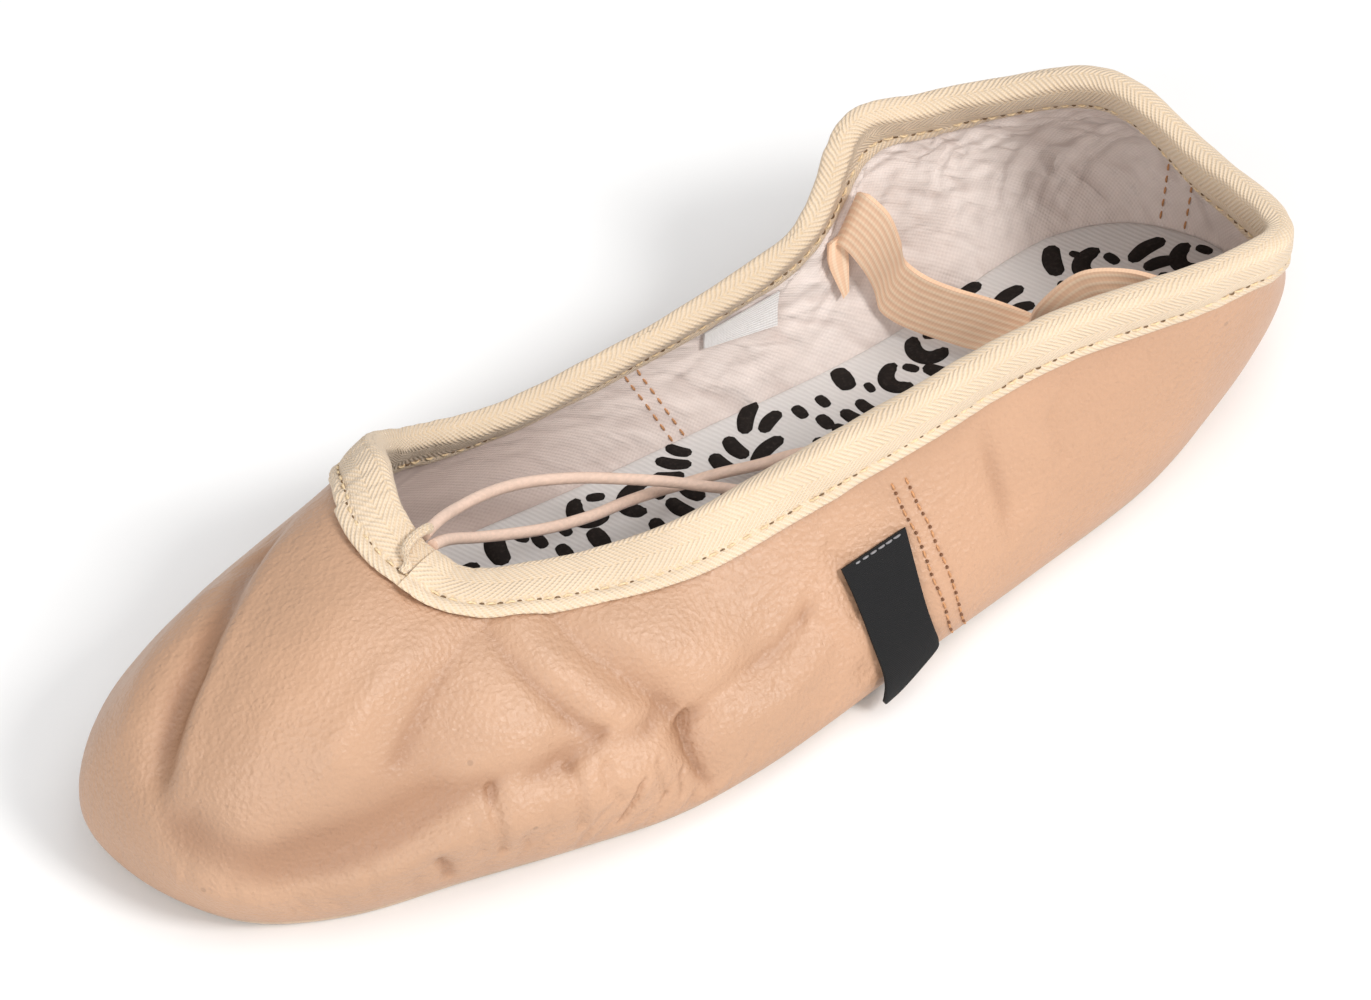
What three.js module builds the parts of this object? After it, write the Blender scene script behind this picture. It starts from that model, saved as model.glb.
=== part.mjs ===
// Soft full-sole ballet slipper for the left foot, empty and standing on its sole.
// Millimetres, Z up, toe towards -X, outer side of the foot towards -Y.
import * as THREE from 'three';
import { mergeVertices } from 'three/addons/utils/BufferGeometryUtils.js';

// Driving dimensions.
const SOLE_LENGTH = 212;
const BALL_WIDTH = 72;
const HEEL_HEIGHT = 50;
const LEATHER = 1.6;
const TAPE = 1.0;
const GAP = 0.3;
const TAPE_GAP = 0.45;
const OUTSOLE = 2.0;
const INSOLE = 1.2;
const TURN_IN = 9;
const TAPE_OUTER = 9.5;
const TAPE_INNER = 8.5;
const STRAP_WIDTH = 12;
const STRAP_THICKNESS = 1.2;
const CORD_DIAMETER = 1.9;
const LABEL_THICKNESS = 0.8;
const LABEL_GAP = 0.65;
const LABEL_CURL = 1.6;
const CARE_THICKNESS = 0.5;
const CARE_GAP = 0.45;
const SOLE_BEVEL = 0.8;
const SOLE_INSET = 1.0;
const INSOLE_INSET = 1.5;
const TOE_SPRING = 1.6;
const ARCH_LIFT = 1.0;

// How finely the soft pieces are cut into flat faces.
const STEPS_ROUND = 78;
const STEPS_UP = 14;
const SOLE_STATIONS = 34;

// The middle line of the sole, from which every rib is turned outwards.
const SPINE_FRONT = -0.19 * SOLE_LENGTH;
const SPINE_BACK = 0.405 * SOLE_LENGTH;

// Flat spots of the sole, as shares of its length from the origin of the ribs.
const FORE_FLAT = [-0.36, -0.03];
const HEEL_FLAT = [0.27, 0.53];

// Ribs of the upper, in turn round the shoe: toe tip, outer side, heel, inner side.
// at: place round the shoe from 0 to 1.
// footX, rimX are shares of SOLE_LENGTH and footY, rimY of BALL_WIDTH.
// rimZ, lift, crown are shares of HEEL_HEIGHT.
// liftAngle, crownAngle: degrees above level in which the rib leaves sole and rim, outwards.
const RIB_COLUMNS = ['at', 'footX', 'footY', 'rimX', 'rimY', 'rimZ', 'lift', 'liftAngle', 'crown', 'crownAngle'];
const RIBS = [
  [0.000, -0.475, 0.017, -0.197, 0.042, 0.944, 0.434, 74, 0.68, -6],
  [0.040, -0.457, -0.183, -0.202, -0.036, 0.912, 0.452, 67, 0.68, 5],
  [0.080, -0.414, -0.361, -0.198, -0.119, 0.848, 0.432, 57, 0.63, 17],
  [0.115, -0.351, -0.461, -0.177, -0.192, 0.778, 0.4, 49, 0.556, 14],
  [0.155, -0.267, -0.518, -0.12, -0.239, 0.73, 0.36, 44, 0.48, 0],
  [0.200, -0.181, -0.575, -0.039, -0.282, 0.714, 0.324, 41.5, 0.428, -24],
  [0.250, -0.09, -0.617, 0.043, -0.319, 0.78, 0.28, 42, 0.384, -62],
  [0.310, 0.05, -0.568, 0.159, -0.358, 0.868, 0.266, 45.5, 0.36, -90],
  [0.370, 0.231, -0.453, 0.285, -0.394, 0.96, 0.31, 51, 0.334, -98],
  [0.420, 0.376, -0.339, 0.41, -0.461, 0.974, 0.384, 56.5, 0.324, -100],
  [0.465, 0.488, -0.119, 0.48, -0.369, 0.908, 0.468, 58, 0.33, -100],
  [0.500, 0.525, 0.092, 0.477, -0.072, 0.874, 0.516, 56.5, 0.332, -99],
  [0.535, 0.494, 0.288, 0.458, 0.214, 0.924, 0.548, 56, 0.25, -84],
  [0.580, 0.422, 0.4, 0.377, 0.414, 0.85, 0.532, 61, 0.166, -73],
  [0.606, 0.374, 0.393, 0.329, 0.475, 0.835, 0.51, 64, 0.142, -70],
  [0.630, 0.324, 0.367, 0.286, 0.494, 0.862, 0.492, 66, 0.13, -68],
  [0.690, 0.169, 0.317, 0.192, 0.381, 0.628, 0.492, 65.5, 0.112, -63],
  [0.750, -0.038, 0.338, -0.034, 0.344, 0.548, 0.472, 67.5, 0.12, -61],
  [0.805, -0.203, 0.369, -0.13, 0.331, 0.646, 0.416, 75.5, 0.192, -62],
  [0.850, -0.306, 0.369, -0.165, 0.283, 0.764, 0.392, 80, 0.34, -60],
  [0.890, -0.387, 0.322, -0.181, 0.228, 0.862, 0.384, 83, 0.44, -54],
  [0.930, -0.438, 0.231, -0.189, 0.167, 0.924, 0.392, 81.5, 0.54, -40],
  [0.965, -0.466, 0.125, -0.192, 0.106, 0.954, 0.412, 79, 0.62, -22],
];

// Soft folds of the leather: points (place round the shoe, share of the rib), depth and half width
// as shares of HEEL_HEIGHT. A positive depth is a trough and a negative one a ridge.
const FOLDS = [
  { depth: 0.044, half: 0.16, path: [[0.124, 0.80], [0.127, 0.47], [0.103, 0.24]] },
  { depth: 0.040, half: 0.08, path: [[-0.042, 0.76], [0.007, 0.69], [0.026, 0.56], [0.037, 0.40]] },
  { depth: 0.040, half: 0.07, path: [[0.156, 0.86], [0.189, 0.64], [0.219, 0.47], [0.248, 0.20]] },
  { depth: 0.024, half: 0.07, path: [[0.132, 0.87], [0.152, 0.73], [0.169, 0.62], [0.171, 0.51]] },
  { depth: 0.016, half: 0.08, path: [[0.336, 0.79], [0.354, 0.46]] },
];
// Mean lengths round the shoe and up a rib, by which the folds are measured.
const ROUND_LENGTH = 2.264 * SOLE_LENGTH;
const RIB_LENGTH = 1.16 * HEEL_HEIGHT;

// Elastic strap across the heel, from the inner wall to the outer wall.
// x, y, z: its middle line, as shares of SOLE_LENGTH, BALL_WIDTH and HEEL_HEIGHT.
// acrossX, acrossY, acrossZ: from the front edge to the back edge, as shares of STRAP_WIDTH.
const STRAP_COLUMNS = ['x', 'y', 'z', 'acrossX', 'acrossY', 'acrossZ'];
const STRAP = [
  [0.2519, 0.4160, 0.5540, 0.567, 0.200, 0.558],
  [0.2509, 0.3660, 0.6160, 0.400, -0.133, 0.833],
  [0.2587, 0.3306, 0.5560, 0.408, -0.233, 0.867],
  [0.2642, 0.3139, 0.4480, 0.333, -0.333, 0.867],
  [0.2679, 0.3167, 0.3340, 0.367, -0.233, 0.850],
  [0.2759, 0.2875, 0.2900, 0.383, -0.283, 0.850],
  [0.2873, 0.2333, 0.2760, 0.417, -0.300, 0.833],
  [0.3054, 0.1653, 0.2600, 0.575, -0.350, 0.733],
  [0.3205, 0.1069, 0.2460, 0.675, -0.383, 0.617],
  [0.3358, 0.0278, 0.2600, 0.800, -0.467, 0.400],
  [0.3472, -0.0417, 0.3300, 0.933, -0.333, -0.083],
  [0.3528, -0.1250, 0.4880, 0.800, -0.400, -0.433],
  [0.3675, -0.1780, 0.6260, 0.317, -0.350, -0.883],
  [0.3840, -0.2430, 0.6600, 0.133, -0.267, -0.933],
  [0.3972, -0.3300, 0.6740, 0.133, -0.100, -0.950],
  [0.4057, -0.3780, 0.6720, 0.167, 0.183, -0.967],
];

// Free ends of the drawstring, from the throat tab to the bare cut ends on the insole.
const DRAWSTRING_UPPER = [
  [-38.6, -4.6, 42.4], [-35.8, -2.2, 40.6], [-32.4, 0.9, 37.6], [-25.6, 4.3, 34.0], [-18.3, 6.6, 30.0],
  [-9.8, 6.5, 26.0], [-2.2, 5.5, 22.0], [5.2, 4.1, 18.0], [9.9, 2.6, 15.5], [14.0, 1.2, 13.5],
  [21.0, -2.6, 10.4], [29.0, -6.6, 8.4], [37.0, -9.6, 8.0], [45.0, -11.6, 7.8], [52.0, -12.6, 7.6],
];
const DRAWSTRING_LOWER = [
  [-38.5, -6.9, 41.0], [-35.6, -4.6, 37.8], [-30.6, -2.3, 33.0], [-19.2, -0.3, 26.0], [-9.7, 2.7, 20.5],
  [-2.8, 5.8, 16.5], [3.8, 8.1, 13.0], [9.9, 9.1, 10.5], [15.6, 8.9, 9.4], [22.3, 7.6, 8.6],
  [27.6, 6.7, 8.3], [32.4, 5.0, 8.1], [39.0, 1.6, 7.9], [46.0, -2.6, 7.7], [52.0, -6.4, 7.6],
];

// Throat tab: the narrow tape loop that the drawstring comes out of.
// Its place round the shoe on the outer face, over the rim and on the inner face, and its half width.
const TAB_PLACES = [0.082, 0.067, 0.057];
const TAB_HALF = 0.011;

// Side label: corners as (place round the shoe, share of the rib, share of LABEL_CURL off the leather).
const LABEL_TOP = [[0.3105, 0.65, 0], [0.2830, 0.66, 0]];
const LABEL_BOTTOM = [[0.3360, 0.12, 0], [0.3150, 0.17, 1]];
// Care label on the lining of the inner side: place round the shoe and share of the rib.
const CARE_TOP = [[0.689, 0.43], [0.709, 0.43]];
const CARE_BOTTOM = [[0.690, 0.25], [0.709, 0.32]];

const rad = THREE.MathUtils.degToRad;
const clamp = THREE.MathUtils.clamp;
const material = (color, roughness) => new THREE.MeshStandardMaterial({ color, roughness, metalness: 0 });
const leather = material('#dcae8c', 0.5);
const suede = material('#c9a98d', 0.95);
const twill = material('#e3e3e8', 0.9);
const cotton = material('#f0dbb4', 0.9);
const elastic = material('#efcba8', 0.85);
const cordCover = material('#edd0bb', 0.7);
const wovenBlack = material('#232326', 0.85);
const wovenWhite = material('#eeeeee', 0.85);

// Lift of the sole over the floor: zero on the two flat spots.
function ground(x) {
  const share = x / SOLE_LENGTH;
  if (share < FORE_FLAT[0]) {
    return TOE_SPRING * ((FORE_FLAT[0] - share) / (FORE_FLAT[0] + 0.5)) ** 2;
  }
  if (share > FORE_FLAT[1] && share < HEEL_FLAT[0]) {
    return ARCH_LIFT * Math.sin(Math.PI * (share - FORE_FLAT[1]) / (HEEL_FLAT[0] - FORE_FLAT[1])) ** 2;
  }
  return 0;
}

// A row of the rib table at any place round the shoe, by smooth cubic pieces.
function ribRow(place) {
  const s = ((place % 1) + 1) % 1;
  const count = RIBS.length;
  let i = count - 1;
  while (RIBS[i][0] > s) i -= 1;
  const row = (k) => RIBS[(k + count) % count];
  const at = (k) => row(k)[0] + Math.floor(k / count);
  const step = at(i + 1) - at(i);
  const u = (s - at(i)) / step;
  const slope = (k, c) => {
    const before = at(k) - at(k - 1);
    const after = at(k + 1) - at(k);
    const rise = (row(k)[c] - row(k - 1)[c]) / before * after + (row(k + 1)[c] - row(k)[c]) / after * before;
    return rise / (before + after);
  };
  const values = {};
  RIB_COLUMNS.forEach((name, c) => {
    values[name] = (1 + 2 * u) * (1 - u) ** 2 * row(i)[c] + u * u * (3 - 2 * u) * row(i + 1)[c]
      + step * u * (1 - u) ** 2 * slope(i, c) - step * u * u * (1 - u) * slope(i + 1, c);
  });
  return values;
}

// Direction outwards from the spine, in plan.
function outwards(x, y) {
  return new THREE.Vector3(x - clamp(x, SPINE_FRONT, SPINE_BACK), y, 0).normalize();
}

// The four control points of a rib: foot, lift, crown and rim.
function ribPoints(place) {
  const r = ribRow(place);
  const foot = new THREE.Vector3(r.footX * SOLE_LENGTH, r.footY * BALL_WIDTH, OUTSOLE + GAP);
  foot.z += ground(foot.x);
  const rim = new THREE.Vector3(r.rimX * SOLE_LENGTH, r.rimY * BALL_WIDTH, r.rimZ * HEEL_HEIGHT);
  const out = outwards(foot.x, foot.y);
  const handle = (length, angle) => out.clone().multiplyScalar(Math.cos(rad(angle)) * length * HEEL_HEIGHT)
    .setZ(Math.sin(rad(angle)) * length * HEEL_HEIGHT);
  return [foot, handle(r.lift, r.liftAngle).add(foot), handle(r.crown, r.crownAngle).add(rim), rim];
}

function bezier(p, t) {
  const u = 1 - t;
  return new THREE.Vector3()
    .addScaledVector(p[0], u ** 3).addScaledVector(p[1], 3 * u * u * t)
    .addScaledVector(p[2], 3 * u * t * t).addScaledVector(p[3], t ** 3);
}

const plain = (place, t) => bezier(ribPoints(place), t);

function normalAt(place, t) {
  const small = 0.002;
  const low = Math.max(0, t - small * 5);
  const high = Math.min(1, t + small * 5);
  const along = plain(place + small, t).sub(plain(place - small, t));
  const up = plain(place, high).sub(plain(place, low));
  return along.cross(up).normalize();
}

// Depth of all folds at a place of the leather.
function foldDepth(place, t) {
  let depth = 0;
  for (const fold of FOLDS) {
    const far = fold.path[0][0] < 0 && place > 0.5 ? place - 1 : place;
    let nearest = Infinity;
    for (let i = 1; i < fold.path.length; i += 1) {
      const a = new THREE.Vector2(fold.path[i - 1][0] * ROUND_LENGTH, fold.path[i - 1][1] * RIB_LENGTH);
      const b = new THREE.Vector2(fold.path[i][0] * ROUND_LENGTH, fold.path[i][1] * RIB_LENGTH);
      const p = new THREE.Vector2(far * ROUND_LENGTH, t * RIB_LENGTH);
      const share = clamp(p.clone().sub(a).dot(b.clone().sub(a)) / a.distanceToSquared(b), 0, 1);
      nearest = Math.min(nearest, p.distanceTo(a.lerp(b, share)));
    }
    depth += fold.depth * HEEL_HEIGHT * Math.exp(-((nearest / (fold.half * HEEL_HEIGHT)) ** 2));
  }
  return depth * Math.sin(Math.PI * clamp(t, 0, 1));
}

// A point at a height off the outer face of the leather; negative heights go into the shoe.
function skin(place, t, height = 0) {
  const depth = foldDepth(((place % 1) + 1) % 1, t);
  return plain(place, t).addScaledVector(normalAt(place, t), height - depth);
}

// A point by its distance below the rim, measured along the rib; negative distances stand above it.
function byRim(place, below, height) {
  const p = ribPoints(place);
  const normal = normalAt(place, 1);
  const up = p[3].clone().sub(bezier(p, 0.98)).normalize();
  if (below <= 0) return p[3].clone().addScaledVector(up, -below).addScaledVector(normal, height);
  let left = below;
  let t = 1;
  const step = 0.01;
  while (left > 0 && t > step) {
    left -= bezier(p, t).distanceTo(bezier(p, t - step));
    t -= step;
  }
  return skin(place, t, height);
}

// A closed mesh from vertices and triangles, turned so that its faces look outwards.
function solid(name, look, vertices, triangles) {
  let volume = 0;
  for (const [a, b, c] of triangles) {
    volume += vertices[a].dot(vertices[b].clone().cross(vertices[c]));
  }
  const index = volume > 0 ? triangles.flat() : triangles.map(([a, b, c]) => [a, c, b]).flat();
  const geometry = new THREE.BufferGeometry();
  geometry.setAttribute('position', new THREE.Float32BufferAttribute(vertices.flatMap((v) => v.toArray()), 3));
  geometry.setIndex(index);
  const mesh = new THREE.Mesh(mergeVertices(geometry, 1e-4), look);
  mesh.name = name;
  return mesh;
}

// A closed mesh from rings of equal length: joined end to end, or capped with a fan at both ends.
function ringSolid(name, look, rings, joined) {
  const vertices = rings.flat();
  const size = rings[0].length;
  const count = rings.length;
  const triangles = [];
  for (let i = 0; i < (joined ? count : count - 1); i += 1) {
    for (let j = 0; j < size; j += 1) {
      const a = i * size + j;
      const b = i * size + (j + 1) % size;
      const c = ((i + 1) % count) * size + j;
      const d = ((i + 1) % count) * size + (j + 1) % size;
      triangles.push([a, b, c], [b, d, c]);
    }
  }
  if (!joined) {
    for (const [ring, first, turn] of [[rings[0], 0, 1], [rings[count - 1], (count - 1) * size, -1]]) {
      const middle = vertices.length;
      vertices.push(ring.reduce((sum, v) => sum.add(v), new THREE.Vector3()).divideScalar(size));
      for (let j = 0; j < size; j += 1) {
        const pair = [first + j, first + (j + 1) % size];
        triangles.push(turn > 0 ? [middle, pair[1], pair[0]] : [middle, pair[0], pair[1]]);
      }
    }
  }
  return solid(name, look, vertices, triangles);
}

// A flat band: each station has two edge points, and the band is as thick on both sides.
function band(name, look, stations, thickness) {
  const across = 2;
  const rings = stations.map(([a, b], i) => {
    const before = stations[Math.max(0, i - 1)];
    const after = stations[Math.min(stations.length - 1, i + 1)];
    const along = after[0].clone().add(after[1]).sub(before[0]).sub(before[1]);
    const normal = b.clone().sub(a).cross(along).normalize().multiplyScalar(thickness / 2);
    const row = [];
    for (let k = 0; k <= across; k += 1) row.push(a.clone().lerp(b, k / across).add(normal));
    for (let k = across; k >= 0; k -= 1) row.push(a.clone().lerp(b, k / across).sub(normal));
    return row;
  });
  return ringSolid(name, look, rings, false);
}

// The upper: outer face up to the rim, inner face down again, and the edge turned in under the insole.
function upper() {
  const rings = [];
  for (let i = 0; i < STEPS_ROUND; i += 1) {
    const place = i / STEPS_ROUND;
    const ring = [];
    for (let j = 0; j <= STEPS_UP; j += 1) ring.push(skin(place, j / STEPS_UP));
    for (let j = STEPS_UP; j > 0; j -= 1) ring.push(skin(place, j / STEPS_UP, -LEATHER));
    const foot = ring[0];
    const corner = skin(place, 0, -LEATHER).setZ(foot.z + LEATHER);
    const turned = outwards(foot.x, foot.y).multiplyScalar(-TURN_IN).add(foot);
    const edge = OUTSOLE + GAP + ground(turned.x);
    ring.push(corner, turned.clone().setZ(edge + LEATHER), turned.clone().setZ(edge));
    rings.push(ring);
  }
  return ringSolid('upper', leather, rings, true);
}

// The outline of the sole, drawn in from the foot of the upper.
function soleLoop(inset) {
  const loop = [];
  for (let i = 0; i < 240; i += 1) {
    const foot = ribPoints(i / 240)[0];
    loop.push(outwards(foot.x, foot.y).multiplyScalar(-inset).add(foot));
  }
  return loop;
}

// The two sides of an outline at one place along the shoe, or nothing beyond its ends.
function sidesAt(loop, x) {
  const hits = [];
  for (let i = 0; i < loop.length; i += 1) {
    const a = loop[i];
    const b = loop[(i + 1) % loop.length];
    if ((a.x - x) * (b.x - x) <= 0 && a.x !== b.x) hits.push(a.y + (b.y - a.y) * (x - a.x) / (b.x - a.x));
  }
  return hits.length < 2 ? null : [Math.min(...hits), Math.max(...hits)];
}

// Places along the shoe, closer together at toe and heel.
function stationsAlong(loop, extra = []) {
  const xs = loop.map((p) => p.x);
  const from = Math.min(...xs) + 0.15;
  const to = Math.max(...xs) - 0.15;
  const flats = [FORE_FLAT[0], FORE_FLAT[1], HEEL_FLAT[0]].map((share) => share * SOLE_LENGTH);
  const list = [...flats, ...extra];
  for (let i = 0; i <= SOLE_STATIONS; i += 1) {
    list.push((from + to) / 2 - (to - from) / 2 * Math.cos(Math.PI * i / SOLE_STATIONS));
  }
  return list.sort((a, b) => a - b).filter((x, i, all) => i === 0 || x - all[i - 1] > 0.02);
}

function acrossSole([near, far], x, height, parts) {
  const row = [];
  for (let k = 0; k <= parts; k += 1) {
    row.push(new THREE.Vector3(x, near + (far - near) * k / parts, ground(x) + height));
  }
  return row;
}

function outsole() {
  const edge = soleLoop(SOLE_INSET);
  const rings = stationsAlong(edge).map((x) => {
    const [near, far] = sidesAt(edge, x);
    const bevel = Math.min(SOLE_BEVEL, (far - near) * 0.2);
    const under = acrossSole([near + bevel, far - bevel], x, 0, 4);
    const side = acrossSole([near, far], x, SOLE_BEVEL, 1);
    const top = acrossSole([near, far], x, OUTSOLE, 4);
    return [...under, side[1], ...top.reverse(), side[0]];
  });
  return ringSolid('outsole', suede, rings, false);
}

// The insole lies on the turned edge of the upper and is thicker inside it.
function insole() {
  const edge = soleLoop(LEATHER + INSOLE_INSET);
  const inner = soleLoop(TURN_IN + GAP + 0.1);
  const onEdge = OUTSOLE + LEATHER + 2 * GAP;
  const top = onEdge + INSOLE;
  const xs = inner.map((p) => p.x);
  const ends = [Math.min(...xs) + 0.3, Math.max(...xs) - 0.3];
  const rings = stationsAlong(edge, [ends[0], ends[0] + 0.5, ends[1] - 0.5, ends[1]]).map((x) => {
    const sides = sidesAt(edge, x);
    const filled = x > ends[0] + 0.25 && x < ends[1] - 0.25;
    const width = sides[1] - sides[0];
    const plug = filled ? sidesAt(inner, x) : [sides[0] + width * 0.47, sides[1] - width * 0.47];
    const over = acrossSole(sides, x, top, 4);
    const under = acrossSole(sides, x, onEdge, 1);
    const lip = acrossSole(plug, x, onEdge, 1);
    const bottom = acrossSole(plug, x, filled ? OUTSOLE + GAP : onEdge - 0.01, 2);
    return [...over, under[1], lip[1], ...bottom.reverse(), lip[0], under[0]];
  });
  return ringSolid('insole', twill, rings, false);
}

// Section of the folded tape over the rim: distance below the rim and height off the leather.
function tapeSection() {
  const inside = -LEATHER - TAPE_GAP;
  const middle = -LEATHER / 2;
  const reach = LEATHER / 2 + TAPE_GAP;
  const leg = (length, height) => [1, 2 / 3, 1 / 3, 0].map((share) => [length * share, height]);
  const arch = (radius) => [45, 90, 135].map((angle) => [
    -GAP - Math.sin(rad(angle)) * radius * 0.8, middle + Math.cos(rad(angle)) * radius]);
  return [
    ...leg(TAPE_OUTER, TAPE_GAP + TAPE), ...arch(reach + TAPE), ...leg(TAPE_INNER, inside - TAPE).reverse(),
    ...leg(TAPE_INNER, inside), ...arch(reach).reverse(), ...leg(TAPE_OUTER, TAPE_GAP).reverse(),
  ];
}

function collarBinding() {
  const rings = [];
  for (let i = 0; i < STEPS_ROUND; i += 1) {
    rings.push(tapeSection().map(([below, height]) => byRim(i / STEPS_ROUND, below, height)));
  }
  return ringSolid('collar_binding', cotton, rings, true);
}

// The tab is a strip of tape that goes askew over the binding from the outside to the inside.
function throatTab() {
  const off = TAPE_GAP + TAPE + GAP + TAPE / 2;
  const inside = -LEATHER - off;
  const radius = LEATHER / 2 + off;
  const [outer, over, inner] = TAB_PLACES;
  const route = [[outer, TAPE_OUTER - 1.5, off], [(outer + over) / 2, TAPE_OUTER / 2, off], [over, 0, off]];
  for (const angle of [30, 60, 90, 120, 150]) {
    route.push([over, -GAP - Math.sin(rad(angle)) * radius * 0.9, -LEATHER / 2 + Math.cos(rad(angle)) * radius]);
  }
  route.push([over, 0, inside], [(over + inner) / 2, TAPE_INNER / 2, inside], [inner, TAPE_INNER - 1, inside]);
  const stations = route.map(([place, below, height]) => [
    byRim(place - TAB_HALF, below, height), byRim(place + TAB_HALF, below, height)]);
  return band('throat_tab', cotton, stations, TAPE * 0.9);
}

function elasticStrap() {
  const edge = (side) => new THREE.CatmullRomCurve3(STRAP.map((values) => {
    const row = Object.fromEntries(STRAP_COLUMNS.map((name, c) => [name, values[c]]));
    const across = new THREE.Vector3(row.acrossX, row.acrossY, row.acrossZ);
    return new THREE.Vector3(row.x * SOLE_LENGTH, row.y * BALL_WIDTH, row.z * HEEL_HEIGHT)
      .addScaledVector(across, side * STRAP_WIDTH / 2);
  }));
  const edges = [edge(-1), edge(1)];
  const stations = [];
  const steps = (STRAP.length - 1) * 2;
  for (let i = 0; i <= steps; i += 1) stations.push(edges.map((curve) => curve.getPoint(i / steps)));
  return band('elastic_strap', elastic, stations, STRAP_THICKNESS);
}

// A cord is an eight-sided tube along its hand-laid route.
function cord(name, points) {
  const route = new THREE.CatmullRomCurve3(points.map((p) => new THREE.Vector3(...p)));
  const section = new THREE.Shape();
  for (let k = 0; k < 8; k += 1) {
    const angle = 2 * Math.PI * k / 8;
    const corner = [Math.cos(angle) * CORD_DIAMETER / 2, Math.sin(angle) * CORD_DIAMETER / 2];
    if (k === 0) section.moveTo(...corner);
    else section.lineTo(...corner);
  }
  const tube = new THREE.ExtrudeGeometry(section, { steps: 28, extrudePath: route, bevelEnabled: false });
  tube.deleteAttribute('normal');
  tube.deleteAttribute('uv');
  const mesh = new THREE.Mesh(mergeVertices(tube, 1e-4), cordCover);
  mesh.name = name;
  return mesh;
}

// A label lies along the leather from its top pair of corners to its bottom pair.
function label(name, look, top, bottom, steps, point, thickness) {
  const stations = [];
  for (let i = 0; i <= steps; i += 1) {
    const share = i / steps;
    stations.push([0, 1].map((side) => point(
      ...top[side].map((value, k) => value + (bottom[side][k] - value) * share ** (k === 2 ? 3 : 1)))));
  }
  return band(name, look, stations, thickness);
}

const sideLabel = () => label('side_label', wovenBlack, LABEL_TOP, LABEL_BOTTOM, 10,
  (place, t, curl) => skin(place, t, LABEL_GAP + LABEL_THICKNESS / 2 + curl * LABEL_CURL), LABEL_THICKNESS);

const careLabel = () => label('care_label', wovenWhite, CARE_TOP, CARE_BOTTOM, 4,
  (place, t) => skin(place, t, -LEATHER - CARE_GAP - CARE_THICKNESS / 2), CARE_THICKNESS);

const firmPieces = [
  upper(), outsole(), insole(), collarBinding(), throatTab(), elasticStrap(), sideLabel(), careLabel(),
];
const cords = [
  cord('drawstring_upper_end', DRAWSTRING_UPPER),
  cord('drawstring_lower_end', DRAWSTRING_LOWER),
];

// The origin is under the middle of the shoe's box, on the floor.
const box = new THREE.Box3();
firmPieces.forEach((mesh) => box.expandByObject(mesh));
const slipper = new THREE.Group();
slipper.add(...firmPieces, ...cords);
slipper.position.set(-(box.min.x + box.max.x) / 2, -(box.min.y + box.max.y) / 2, -box.min.z);

export default slipper;
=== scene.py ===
"""Looks for a soft full-sole ballet slipper, left foot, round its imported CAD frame."""

import math

import bmesh
import bpy
import numpy as np
from bpy.props import FloatProperty, FloatVectorProperty, IntProperty, PointerProperty
from mathutils import Matrix, Vector


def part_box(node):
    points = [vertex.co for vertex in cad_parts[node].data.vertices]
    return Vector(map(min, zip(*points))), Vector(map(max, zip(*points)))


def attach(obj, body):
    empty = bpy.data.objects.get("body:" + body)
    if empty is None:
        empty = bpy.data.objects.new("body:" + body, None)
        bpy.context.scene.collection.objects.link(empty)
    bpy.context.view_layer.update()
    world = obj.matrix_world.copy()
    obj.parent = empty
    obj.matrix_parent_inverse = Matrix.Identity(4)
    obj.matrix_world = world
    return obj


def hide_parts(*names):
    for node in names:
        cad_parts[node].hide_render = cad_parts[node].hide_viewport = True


bl_info = {
    "name": "Soft ballet slipper",
    "version": (1, 0, 0),
    "blender": (4, 5, 0),
    "location": "3D View > Sidebar > Slipper",
    "description": "Builds the looks of a soft leather ballet slipper round its CAD frame",
    "category": "Object",
}

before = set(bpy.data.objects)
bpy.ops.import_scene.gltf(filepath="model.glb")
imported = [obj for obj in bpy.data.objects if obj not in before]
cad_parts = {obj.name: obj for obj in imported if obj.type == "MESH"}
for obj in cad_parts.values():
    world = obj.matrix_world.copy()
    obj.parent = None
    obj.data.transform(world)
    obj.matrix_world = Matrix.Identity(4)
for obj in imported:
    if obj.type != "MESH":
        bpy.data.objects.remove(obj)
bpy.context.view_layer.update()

MM = 0.001
UP = np.array([0.0, 0.0, 1.0])

# Sizes of the part, in millimetres.
SOLE_LENGTH = 212.0
BALL_WIDTH = 72.0
HEEL_HEIGHT = 50.0
LEATHER = 1.6
SKIN = 1.05
OUTSOLE = 2.0
GAP = 0.3
TURN_IN = 9.0
TAPE = 0.75
TAPE_GAP = 0.45
TAPE_OUTER = 9.5
TAPE_INNER = 8.5
INSOLE_TOP = 5.4
TOE_SPRING = 1.6
ARCH_LIFT = 1.0
ROUND_LENGTH = 480.0
RIB_LENGTH = 58.0
SPINE = (-0.19 * SOLE_LENGTH, 0.405 * SOLE_LENGTH)
FORE_FLAT = (-0.36, -0.03)
HEEL_FLAT = 0.27

# Steps of the meshes, round the shoe and up its wall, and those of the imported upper.
OUTER_ROWS, INNER_ROWS = 84, 14
LINING_COLUMNS, LINING_ROWS, LINING_BACK_ROWS = 560, 72, 30
LINING_TOP = 0.985
TAPE_COLUMNS = 860
TAB_STEPS = 61
RIM_STEPS = 161
SOLID_COLUMNS, SOLID_ROWS = 78, 15
# Columns of the upper stand closer round this place, where it is creased most.
CROWDING, CROWDED_AT = 0.06, 0.2

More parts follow.
